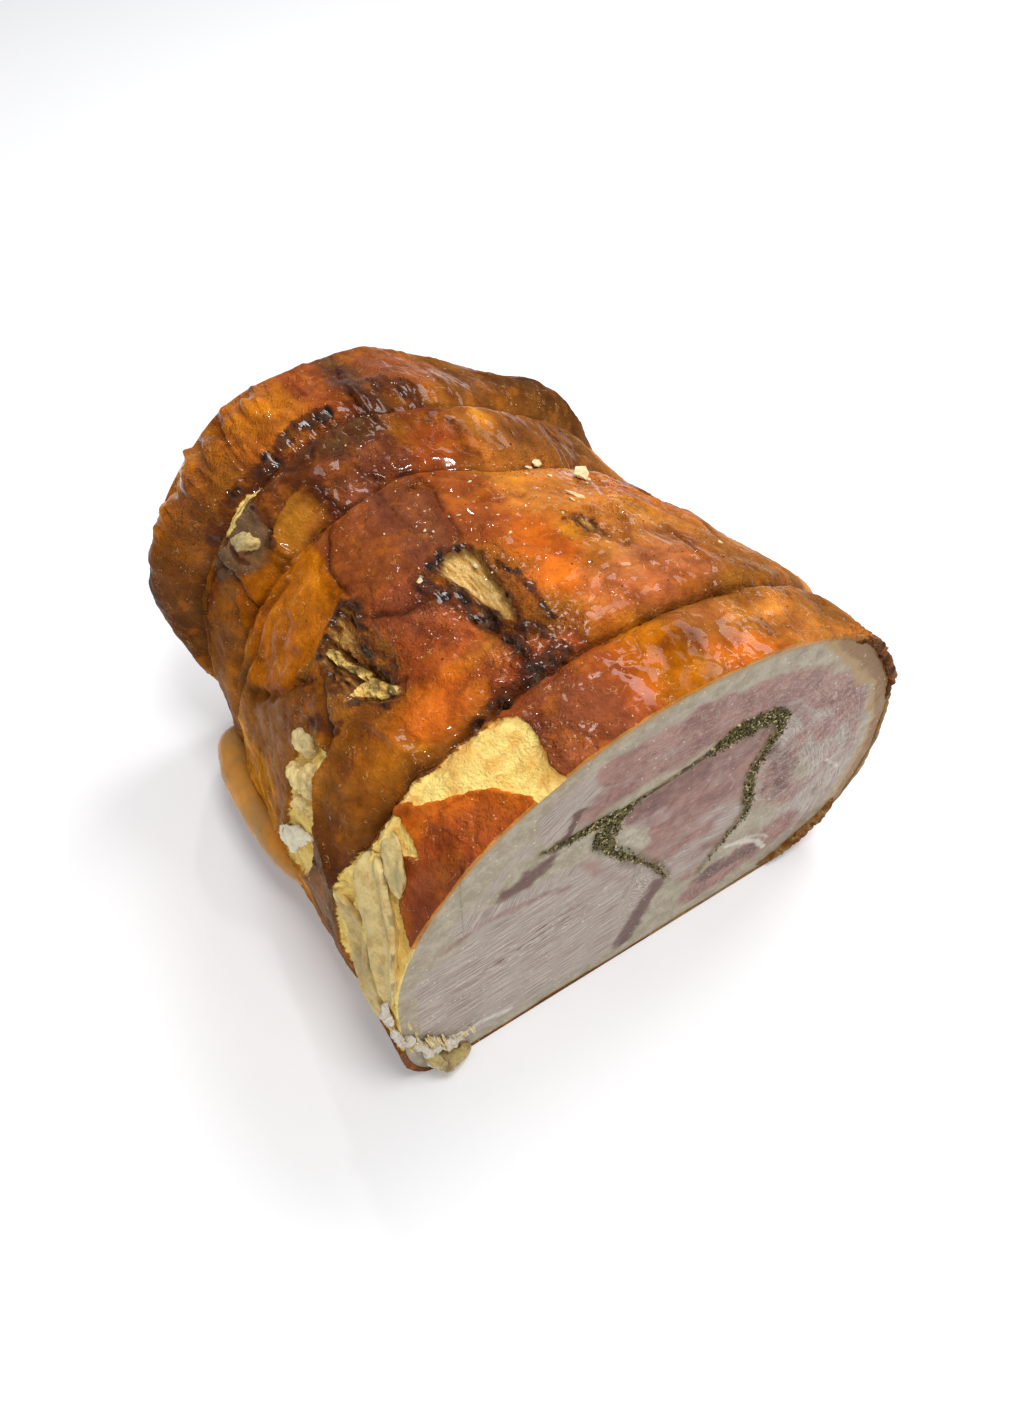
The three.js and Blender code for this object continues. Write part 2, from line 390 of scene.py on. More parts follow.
# ---- placing and writing pieces
@dataclass(frozen=True)
class RoastFrame:
    """Where the roast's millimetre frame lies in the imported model."""

    origin: tuple[float, float, float]

    @classmethod
    def from_wrap(cls) -> "RoastFrame":
        """The frame, found from the belly wrap's box."""
        low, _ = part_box("belly_wrap")
        return cls((low.x + AXIS_FROM_LEFT * MM, low.y, low.z))

    def place(self, points: Array) -> Array:
        """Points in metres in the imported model, none below the board."""
        placed = np.asarray(points, float) * MM + np.array(self.origin)
        placed[..., 2] = np.maximum(placed[..., 2], self.origin[2])
        return placed


class Slot(Enum):
    """The record's material slots."""

    RIND = "rind"
    MEAT = "meat"
    LOIN = "loin"
    HERBS = "herbs"
    FAT = "fat"
    CRUMBS = "crumbs"


@dataclass
class Workshop:
    """Turns point grids into finished pieces."""

    frame: RoastFrame
    made: list[str] = field(default_factory=list)

    def write(self, mesh: bpy.types.Mesh, points: Array, marks: Marks) -> None:
        """Gives a mesh its points, and a value or colour at each point for every mark."""
        mesh.vertices.foreach_set("co", self.frame.place(points).reshape(-1).astype(np.float32))
        for name, values in marks.items():
            values = np.asarray(values, np.float32)
            if values.ndim == points.ndim:
                rgba = np.concatenate([values, np.ones_like(values[..., :1])], -1)
                kind, key, flat = "FLOAT_COLOR", "color", rgba
            else:
                kind, key, flat = "FLOAT", "value", values
            attribute = mesh.attributes.new(name, kind, "POINT")
            attribute.data.foreach_set(key, flat.reshape(-1))

    def close_grid(self, name: str, points: Array, marks: Marks) -> Piece:
        """A solid from rings of points: rings close on themselves, end rings are poles.

        Args:
            name: the piece's name.
            points: rings by places by xyz, with the last place equal to the first.
            marks: values for each point.

        Returns:
            The new object.
        """
        rows, columns = points.shape[:2]
        bm = bmesh.new()
        bmesh.ops.create_grid(bm, x_segments=columns - 1, y_segments=rows - 1, size=1)
        return self.dress(name, bm, points, marks, weld=True)

    def dress(
        self, name: str, bm: bmesh.types.BMesh, points: Array, marks: Marks,
        sharp: float = 50, weld: bool = False,
    ) -> Piece:
        """Turns faces into an object.

        Args:
            name: the piece's name.
            bm: its faces, freed here.
            points: where its points go.
            marks: values for each point.
            sharp: edges turning by more degrees than this stay sharp.
            weld: joins points at the same place.

        Returns:
            The new object.
        """
        mesh = bpy.data.meshes.new(name)
        bm.to_mesh(mesh)
        self.write(mesh, points, marks)
        bm.clear()
        bm.from_mesh(mesh)
        if weld:
            bmesh.ops.remove_doubles(bm, verts=bm.verts, dist=WELD)
        bmesh.ops.recalc_face_normals(bm, faces=bm.faces)
        bm.to_mesh(mesh)
        bm.free()
        mesh.polygons.foreach_set("use_smooth", np.ones(len(mesh.polygons), bool))
        mesh.set_sharp_from_angle(angle=math.radians(sharp))
        piece = bpy.data.objects.new(name, mesh)
        bpy.context.scene.collection.objects.link(piece)
        return piece

    def hand_over(self, piece: Piece, finish: Material, slot: Slot, *nodes: str) -> None:
        """Dresses a piece, puts it on its body and hides the parts it stands for."""
        piece.data.materials.clear()
        piece.data.materials.append(finish)
        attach(piece, BODY)
        if nodes:
            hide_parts(*nodes)
        self.made.append(piece.name)
        triangles = sum(len(p.vertices) - 2 for p in piece.data.polygons)
        log.info("%s: %d triangles", piece.name, triangles)


@dataclass(frozen=True)
class Fold:
    """A closed roll, fold or lump laid along a path of places in millimetres."""

    path: Path3
    half: tuple[float, ...]
    thick: tuple[float, ...]
    lumps: float = 0.4
    lump_size: float = 6.0
    pleats: float = 0.0
    pleat: float = 0.0
    seed: int = 1
    around: int = 40
    along: int = 70


def fold_points(fold: Fold) -> tuple[Array, Array, Array]:
    """Rings of points for a fold.

    Args:
        fold: its path and sizes.

    Returns:
        The points, and for each its place across (-1 to 1) and along (0 to 1).
    """
    middle = smooth_path(np.array(fold.path, float), fold.along)
    ahead = np.gradient(middle, axis=0)
    ahead /= np.linalg.norm(ahead, axis=1, keepdims=True)
    out = middle - np.stack([0 * middle[:, 0], middle[:, 1], 0 * middle[:, 0] + AXIS_HEIGHT], -1)
    out -= (out * ahead).sum(-1, keepdims=True) * ahead
    out /= np.linalg.norm(out, axis=1, keepdims=True)
    side = np.cross(ahead, out)
    share = np.linspace(0, 1, fold.along + 1)
    taper = np.sqrt(np.clip(1 - np.abs(2 * share - 1) ** 7, 0, 1))
    half = np.interp(share, np.linspace(0, 1, len(fold.half)), fold.half) * taper
    thick = np.interp(share, np.linspace(0, 1, len(fold.thick)), fold.thick) * taper
    around = np.linspace(0, 2 * math.pi, fold.around + 1)
    across, rise = np.cos(around), np.sin(around)
    noise = Lumpiness(fold.seed)
    along, place = np.meshgrid(share, across, indexing="ij")
    wave = np.sin(place * math.pi * fold.pleats + 1.5 * noise.at(along * 4, place))
    lift = thick[:, None] * rise + fold.pleat * taper[:, None] * wave * np.abs(rise) ** 0.5
    points = middle[:, None] + half[:, None, None] * across[:, None] * side[:, None]
    points = points + lift[..., None] * out[:, None]
    size = fold.lump_size
    rough = noise.layers(points[..., 0] / size, points[..., 1] / size, points[..., 2] / size)
    push = across[:, None] * side[:, None] + rise[:, None] * out[:, None]
    points = points + (fold.lumps * rough * taper[:, None])[..., None] * push
    points[:, -1] = points[:, 0]
    points[0], points[-1] = middle[0], middle[-1]
    return points, place, along


@dataclass
class Chips:
    """Small loose bits gathered for one joined piece."""

    draw: np.random.Generator
    places: list[Array] = field(default_factory=list)
    sizes: list[Array] = field(default_factory=list)
    tints: list[Array] = field(default_factory=list)

    def drop(self, places: Array, sizes: Array) -> None:
        """Adds bits at places, with length, width and thickness, and a drawn tint each."""
        self.places.append(places)
        self.sizes.append(sizes)
        self.tints.append(self.draw.random(len(places)))

    def build(self, shop: Workshop, name: str, seed: int, out: object) -> Piece:
        """Joins all bits into one piece.

        Args:
            shop: where the piece is made.
            name: the piece's name.
            seed: for the turns and the bits' rough shapes.
            out: function of places that gives the direction the bits lie flat against.

        Returns:
            The new object.
        """
        places, sizes = np.vstack(self.places), np.vstack(self.sizes)
        count = len(places)
        bm = bmesh.new()
        bmesh.ops.create_icosphere(bm, subdivisions=1, radius=1)
        corners = np.array([v.co[:] for v in bm.verts])
        wanted = count * len(corners)
        while len(bm.verts) < wanted:
            bmesh.ops.duplicate(bm, geom=[*bm.verts, *bm.edges, *bm.faces])
        bmesh.ops.delete(bm, geom=list(bm.verts)[wanted:], context="VERTS")
        draw = np.random.default_rng(seed)
        away = out(places)
        flat = np.cross(away, draw.normal(size=(count, 3)))
        flat /= np.linalg.norm(flat, axis=1, keepdims=True)
        rough = corners[None] * draw.uniform(0.65, 1.25, (count, len(corners), 1))
        rough = rough * sizes[:, None] / 2
        ways = np.stack([flat, np.cross(away, flat), away], 1)
        points = (places[:, None] + rough @ ways).reshape(-1, 3)
        tints = np.repeat(np.concatenate(self.tints), len(corners))
        return shop.dress(name, bm, points, {"tint": tints}, 35)


# ---- what shows on the skin
class Tone(Enum):
    """Colours of the roasted skin."""

    AMBER = (182, 100, 6)
    OCHRE = (150, 92, 28)
    HONEY = (204, 132, 34)
    YELLOW = (226, 146, 30)
    ORANGE = (206, 100, 26)
    RED = (160, 74, 34)
    RUSSET = (138, 68, 32)
    MAUVE = (128, 68, 44)
    PINK = (190, 108, 66)
    TAN = (206, 124, 50)
    BROWN = (116, 66, 28)
    UMBER = (80, 48, 26)
    GREY = (70, 56, 40)
    MAROON = (88, 38, 16)
    MEMBRANE = (118, 92, 66)
    RIM = (214, 144, 58)
    CRUST = (150, 118, 72)

    @property
    def light(self) -> Array:
        """The tone's light values."""
        return np.array(linear(*self.value))

    def over(self, under: Array, share: Array) -> Array:
        """This tone laid over colours by share."""
        return mix(under, self.light, share[..., None])


@dataclass(frozen=True)
class Stain:
    """A soft area of one tone on the skin."""

    tone: Tone
    angle: float
    y: float
    spread: float
    half: float
    strength: float = 0.9


STAINS = [
    Stain(Tone[name], *sizes)
    for name, *sizes in (
        # underside and flanks
        ("BROWN", 250, 110, 60, 160, 0.8), ("OCHRE", 185, 105, 26, 60),
        ("TAN", 30, 110, 30, 70, 0.6), ("BROWN", -15, 110, 30, 160, 0.7),
        # middle band
        ("TAN", 76, 110, 20, 60, 0.9), ("ORANGE", 54, 112, 14, 30, 0.6),
        ("BROWN", 43, 128, 10, 26, 0.9), ("ORANGE", 94, 76, 7, 34, 1.0),
        ("YELLOW", 86, 80, 3.0, 6, 0.8), ("YELLOW", 85, 134, 2.5, 16, 0.5),
        ("RED", 80, 46, 16, 9, 0.8), ("PINK", 70, 58, 12, 14, 0.35),
        ("BROWN", 50, 42, 12, 8, 0.35), ("BROWN", 157, 45, 12, 14, 1.0),
        ("UMBER", 162, 42, 6, 8, 0.8), ("BROWN", 146, 92, 7, 10, 0.8),
        ("AMBER", 136, 50, 9, 14, 1.0), ("YELLOW", 132, 41, 2.2, 3, 0.7),
        ("ORANGE", 125, 48, 8, 12, 1.0), ("RED", 114, 44, 8, 10, 0.8),
        ("BROWN", 152, 146, 16, 7, 0.6), ("HONEY", 178, 118, 12, 22, 0.7),
        # near band
        ("ORANGE", 97, 16, 5, 20, 0.9), ("AMBER", 90, 14, 5, 22, 1.0),
        ("RUSSET", 82.5, 18, 2.5, 18, 0.7), ("PINK", 76, 24, 4, 8, 0.45),
        ("ORANGE", 76, 4, 7, 10, 0.9), ("TAN", 62, 12, 8, 16, 0.8), ("TAN", 46, 2, 12, 6, 0.8),
        ("PINK", 102, -2, 6, 8, 0.7), ("BROWN", 44, 22, 9, 16, 0.3), ("UMBER", 20, 3, 11, 8, 0.7),
        ("ORANGE", -34, 2, 8, 6, 0.8), ("BROWN", 210, 4, 16, 22, 0.95),
        # waist between the two slipped strings
        ("OCHRE", 170, 166, 12, 14), ("UMBER", 181, 168, 6, 8, 0.7),
        ("BROWN", 158, 162, 12, 9, 0.6), ("MAROON", 152, 176, 12, 6, 0.9),
        ("RUSSET", 92, 180, 9, 8, 0.9), ("RED", 92, 163, 8, 9, 0.9),
        ("BROWN", 64, 170, 12, 13, 0.75), ("HONEY", 79, 178, 2.0, 7, 0.6),
        ("UMBER", 50, 170, 9, 16, 0.6),
        # roast end
        ("UMBER", 165, 204, 16, 22, 0.9), ("AMBER", 140, 206, 14, 20, 0.85),
        ("BROWN", 146, 194, 16, 6, 0.8), ("BROWN", 140, 202, 7, 9, 0.55),
        ("YELLOW", 117, 209, 9, 11, 1.0), ("YELLOW", 141, 214, 6, 5, 0.8),
        ("RUSSET", 92, 206, 6, 18, 0.9), ("RED", 82, 206, 6, 16, 0.7),
        ("BROWN", 70, 204, 9, 16, 0.9), ("UMBER", 46, 204, 18, 20, 0.95),
        ("BROWN", 10, 206, 26, 26, 0.9),
    )
]


@dataclass(frozen=True)
class SkinStrip:
    """A strip or lobe of skin with a clear edge; rise lifts it, dark paints shade along its edge."""

    tone: Tone
    outline: Path2
    soft: float = 0.7
    strength: float = 0.9
    rise: float = 0.0
    dark: float = 0.0


STRIPS = [
    SkinStrip(Tone[name], outline, *sizes)
    for name, outline, *sizes in (
        # the tongue over the torn fat
        ("BROWN", ((134, 33.5), (136, 62), (147, 64), (151.5, 56), (159, 47), (167, 40), (167, 33),
         (150, 28)), 2.0, 0.25, 2.6, 0.8),
        # middle band
        ("AMBER", ((151, 152), (127, 152), (126.5, 126), (127, 107), (137, 103), (149, 106),
         (154, 124))),
        ("OCHRE", ((170, 150), (152, 152), (155, 126), (151, 108), (162, 98), (167, 116)), 2.5),
        ("HONEY", ((186, 148), (171, 148), (168, 122), (163, 100), (174, 92), (186, 104)), 2.5, 0.9,
         0.5, 0.4),
        ("RUSSET", ((126.5, 156), (109, 156), (110, 125), (110, 98), (120, 92), (127, 106),
         (126, 128)), 1.0),
        ("MAUVE", ((112, 157), (100.5, 157), (101.5, 130), (103, 104), (107, 96), (114, 102)), 2.4),
        ("RED", ((101, 157), (92, 157), (91, 120), (95, 94), (104, 96), (101.8, 128)), 3.0, 0.75),
        ("RED", ((127, 98), (116, 98), (112, 76), (113, 56), (121, 56), (128, 62), (126, 80)), 2.6),
        ("MAUVE", ((124, 96), (117, 96), (115, 80), (122, 74)), 3.5, 0.6),
        ("MAROON", ((104, 78), (101, 66), (101, 50), (104, 43), (108, 47), (107.5, 60)), 1.8, 0.5),
        ("PINK", ((92, 58), (72, 62), (68, 40), (90, 40)), 5.0, 0.4),
        ("MEMBRANE", ((163, 66), (160, 50), (165, 40), (180, 44), (192, 50), (186, 68)), 2.5, 0.8),
        ("HONEY", ((193, 112), (182, 112), (181, 80), (186, 70), (194, 76)), 3.0, 0.7),
        ("YELLOW", ((70, 98), (64, 96), (62, 78), (68, 76)), 2.5, 0.45),
        # waist
        ("AMBER", ((153, 151), (134, 151), (134, 162), (140, 167), (147, 162)), 0.9, 0.75, 0.5, 0.5),
        ("MAROON", ((131, 189), (118, 189), (116, 172), (120, 166), (131, 166)), 1.6, 0.8, 0.3, 0.5),
        ("HONEY", ((117.5, 163), (121, 170), (128, 166), (134, 160), (136, 152), (127, 150.5),
         (121, 155)), 1.2, 0.4, 1.1, 0.7),
        ("MEMBRANE", ((131, 184), (131, 170), (134, 160), (141, 161), (146, 172), (145, 183)), 1.2,
         0.9, 0.3, 0.6),
        ("MAUVE", ((118.5, 151), (101, 151), (99, 164), (103, 173), (118, 171)), 1.4, 0.9, 0.4, 0.5),
        ("GREY", ((117, 186), (101, 187), (100, 176), (107, 170), (116, 175)), 3.0, 0.7, 0.2),
        # roast end
        ("ORANGE", ((126, 222), (108, 222), (107, 188), (125, 188)), 4.0, 0.4),
        ("RED", ((110, 224), (100, 224), (99, 188), (108, 186)), 1.4, 0.75, 0.4, 0.3),
        ("GREY", ((101, 220), (96, 220), (95, 189), (101, 187)), 2.2, 0.6, -0.4),
        # near band
        ("ORANGE", ((142, 32), (137, 29), (131, 21), (123, 6), (119, -8), (164, -8), (153, 8),
         (145, 20)), 0.9),
        ("RED", ((147, 20), (136, 17), (127, 4), (125, -8), (158, -8), (151, 9)), 4.0, 0.8),
        ("MAUVE", ((151, 12), (141, 9), (137, -8), (162, -8)), 4.0, 0.75),
        ("RED", ((119, 40), (101, 40), (98, 18), (99, -8), (119, -8)), 2.2, 0.85),
        ("MAUVE", ((117, 25), (106, 27), (102, 8), (106, -8), (118, -8)), 4.0, 0.7),
    )
]


@dataclass(frozen=True)
class Crease:
    """A crease along a path of (angle, y); a negative depth is a raised fold, and dark sets its painted
    shade.
    """

    path: Path2
    width: float
    depth: float
    dark: float


CREASES = [
    Crease(*row)
    for row in (
        (((121, 153), (123.5, 140), (126.5, 125), (127, 107)), 0.9, 1.2, 0.8),
        (((110, 152), (110, 130), (110.5, 112), (111, 102)), 0.6, 0.5, 0.35),
        (((101, 152), (101.5, 130), (103, 110), (104, 98)), 0.7, 0.8, 0.6),
        (((134, 143), (142, 141), (147, 138), (154, 137), (164, 142), (176, 150)), 1.8, 3.0, 0.6),
        (((145, 182), (144, 170), (144.5, 163), (147, 153), (147, 143)), 1.1, 1.8, 0.8),
        (((142, 176), (153, 180), (166, 178), (180, 180)), 2.2, 1.5, 0.6),
        (((134, 165), (134, 158), (134, 148)), 0.9, 1.2, 0.8),
        (((97, 218), (100, 200), (100.5, 188), (100.5, 172)), 0.8, 1.2, 0.9),
        (((118.5, 170), (118.5, 162), (118.5, 152)), 0.8, 1.0, 0.9),
        (((110, 169), (109, 160), (106, 153)), 0.7, 0.8, 0.6),
        (((85, 172), (87, 161), (84, 157)), 0.8, 0.9, 0.7),
        (((110, 64), (109.5, 54), (110, 44), (109.5, 34)), 1.5, 2.2, 1.0),
        (((128, 98), (121, 85), (117, 84), (114, 80)), 0.8, 1.0, 0.9),
        (((84, 90), (82.5, 83), (82.5, 77), (80, 71)), 0.9, 1.3, 0.9),
        (((81, 92), (78, 88), (79, 82), (77, 74), (74, 68)), 1.7, -1.6, 0.0),
        (((67, 122), (71, 104), (72, 90), (72, 78)), 1.6, -1.2, 0.0),
        (((75, 94), (74, 86), (73, 74)), 1.2, 1.1, 0.25),
        (((66, 76), (65, 68), (67, 51), (69, 39), (69, 32)), 0.8, 0.9, 0.5),
        (((158, 132), (155, 122), (152, 112), (144, 101), (140, 92)), 1.4, 2.0, 0.55),
        (((60, 118), (56, 96), (58, 84)), 1.3, -0.9, 0.0),
        (((46, 140), (44, 110), (47, 84), (52, 60)), 1.4, 1.0, 0.4),
        (((138, 96), (140, 84), (143, 74), (147, 66)), 1.6, 1.8, 0.7),
        (((71, 2), (69, 12), (68, 22), (64, 32)), 1.5, -1.0, 0.0),
        (((59, 24), (56, 12), (53, 4)), 1.2, -0.8, 0.0),
        (((148, 80), (149, 68), (153.5, 57), (161, 48), (169, 40)), 1.6, 2.2, 1.0),
        (((88, 152), (90, 138), (88, 120), (90, 108)), 1.3, -0.5, 0.0),
        (((104, 34), (98, 42), (92, 45)), 1.1, -0.7, 0.0),
        (((120, 34), (115, 44), (114, 58)), 1.3, -0.9, 0.0),
    )
]
STRING_CRACK = Crease((), 0.9, 1.8, 1.0)
CLEFT_REACH = 4.0  # mm to each side that the mark "cleft" covers
EDGE_REACH = 8.0  # the same for "bare" and "torn"


def hidden_creases() -> tuple[Crease, ...]:
    """Creases like those on top, over the right flank and the underside's edge."""
    draw = np.random.default_rng(7)
    made = []
    for angle in (34, 22, 10, -4, -18, 206, 218):
        start = draw.uniform(20, 120)
        steps = start + np.cumsum(draw.uniform(14, 24, 4))
        path = tuple((angle + draw.uniform(-5, 5), float(y)) for y in steps)
        made.append(Crease(path, 1.2, 1.4 * draw.choice([-1, 1]), 0.5))
    return tuple(made)


@dataclass(frozen=True)
class Gash:
    """A split in the skin with a floor of torn fibres and burnt lips."""

    outline: Path2
    depth: float
    fibre: float
    dull: float
    below: float = -99.0  # the floor is duller nearer than this
    left_lip: float = 1.5  # width of the burnt skin on each side
    right_lip: float = 1.0


GASHES = [
    Gash(*row)
    for row in (
        (((111.5, 90), (110.8, 96), (108, 98.5), (104.5, 96), (103, 90), (103.4, 82), (104, 74),
         (104.8, 66), (105.6, 58), (106.2, 52), (107.2, 58), (107.8, 66), (108.8, 74), (110.2, 82)),
         2.6, 0.6, 0.0, 66, 3.2, 1.3),
        (((137, 100), (138.5, 88), (137, 76), (134.5, 65), (131.5, 61), (130, 68), (131, 80), (130, 92),
         (126.5, 104), (128.5, 109), (133, 105)), 2.6, 0.9, 0.5, -99, 1.2, 2.0),
        (((84.5, 86), (81.5, 87), (80, 82), (80.5, 76), (78.5, 73), (82, 74), (84, 80)),
         1.0, 0.5, 0.45, -99, 0.2, 0.2),
    )
]


@dataclass(frozen=True)
class Bare:
    """Fat laid bare where the skin has torn away."""

    outline: Path2
    drop: float
    rich: float


BARE_FAT = [
    Bare(*row)
    for row in (
        (((141, 32), (136, 32), (130, 32), (124, 29), (121, 30), (117, 25), (116, 19), (117, 10),
         (118, 3), (117, -3), (123, -3), (124.5, 4), (127, 12), (133, 20.5), (138, 27)), 1.5, 0.35),
        (((141, 31.5), (144, 32.5), (148.5, 31.5), (149.5, 26), (146, 20), (144, 14.5), (142.5, 21),
         (142, 27)), 1.2, 0.1),
        (((149, 31), (153, 35), (160, 40), (170, 44), (180, 44), (190, 40), (195, 22), (192, -4),
         (158, -4), (157, 3), (152.5, 11), (149.5, 19)), 1.6, 0.0),
        (((127, 187), (129, 182), (133, 178.5), (138, 178), (140, 182), (137, 186), (131, 188)),
         -0.4, 0.1),
        (((136.5, 76), (133.5, 66), (130, 61), (128.6, 64), (131, 70), (133, 78)), -1.6, 0.4),
        (((135.4, 100), (134, 88), (132.6, 78), (134, 78), (136, 90), (136.6, 98)), -1.8, 0.2),
        (((150, 86), (146, 76), (146, 66), (156, 58), (164, 60), (178, 66), (184, 78), (182, 100),
         (174, 84), (164, 80)), 2.4, 0.0),
    )
]


@dataclass(frozen=True)
class Scorch:
    """Burnt, crinkled skin along a path of (angle, y)."""

    path: Path2
    reach: float
    strength: float


SCORCHES = [
    Scorch(*row)
    for row in (
        (((115, 94), (114.5, 86), (112.5, 76), (111.5, 66)), 3.0, 0.9),
        (((101.5, 84), (100.5, 72), (101, 60), (101.5, 48)), 1.3, 1.0),
        (((111, 66), (110, 56), (109.5, 46), (110, 36)), 2.8, 1.0),
        (((106, 56), (105, 48), (104, 42)), 1.8, 0.7),
        (((125, 32), (118, 34), (112, 35), (104, 36)), 2.8, 1.0),
        (((129, 104), (128.5, 88), (128, 76), (129, 66)), 1.6, 0.8),
        (((146, 82), (143, 78), (141, 71)), 3.0, 0.6),
        (((130, 190), (122, 190), (114, 192), (107, 192)), 2.8, 1.0),
        (((121, 176), (113, 180), (105, 180), (102, 174)), 5.0, 0.7),
        (((99, 212), (98.5, 200), (98, 192)), 3.4, 0.7), (((93, 198), (89, 192)), 4.5, 0.7),
        (((86, 173), (85, 171)), 2.0, 0.9), (((62, 178), (58, 172), (54, 170)), 4.0, 0.6),
        (((131, 190), (138, 189.5), (144, 189)), 1.8, 0.8),
        (((131, 176), (130.8, 166), (133, 160)), 1.3, 0.9),
        (((129, 187), (134, 182), (140, 182)), 3.6, 0.55),
        (((135, 99), (134, 84), (132, 72), (130, 64)), 5.0, 0.6),
        (((139.5, 176), (140.5, 168), (138.5, 162)), 1.1, 0.7),
        (((166, 66), (170, 60), (168, 50), (162, 40)), 3.0, 0.6),
        (((85, 88), (81.5, 80), (80, 71)), 1.6, 0.5), (((38, 4), (28, 3), (18, 4)), 5.0, 0.6),
    )
]


@dataclass(frozen=True)
class Shrivel:
    """An area where the skin is crinkled: 'lengthwise' stretches the crinkles along the roll."""

    angle: float
    y: float
    spread: float
    half: float
    height: float
    lengthwise: bool = False


SHRIVELS = [
    Shrivel(*row)
    for row in (
        (110, 42, 9, 11, 1.5), (113, 12, 6, 12, 0.6), (101, 46, 8, 10, 0.7), (115, 82, 7, 18, 1.0),
        (101, 70, 4, 24, 0.8), (131, 84, 8, 22, 1.0), (134, 206, 24, 20, 1.5, True),
        (112, 190, 12, 6, 1.0), (110, 164, 10, 8, 0.5), (72, 76, 10, 22, 0.5, True),
        (60, 120, 12, 34, 0.5, True), (66, 154, 16, 12, 0.4), (60, 22, 12, 16, 0.4, True),
        (134, 8, 10, 12, 0.35), (34, 3, 18, 8, 2.4), (-8, 2, 22, 6, 1.2), (-38, 2, 9, 6, 3.0),
        (90, 204, 14, 16, 0.5),
    )
]


def flat(path: Path2) -> Array:
    """A path of (angle, y) in millimetres round and along the skin."""
    return np.array(path, float) * (ARC, 1)


def around(x: Array, y: Array, path: Array, margin: float) -> Array:
    """Which places lie in a path's box, widened by a margin."""
    low, high = path.min(0) - margin, path.max(0) + margin
    return (x > low[0]) & (x < high[0]) & (y > low[1]) & (y < high[1])


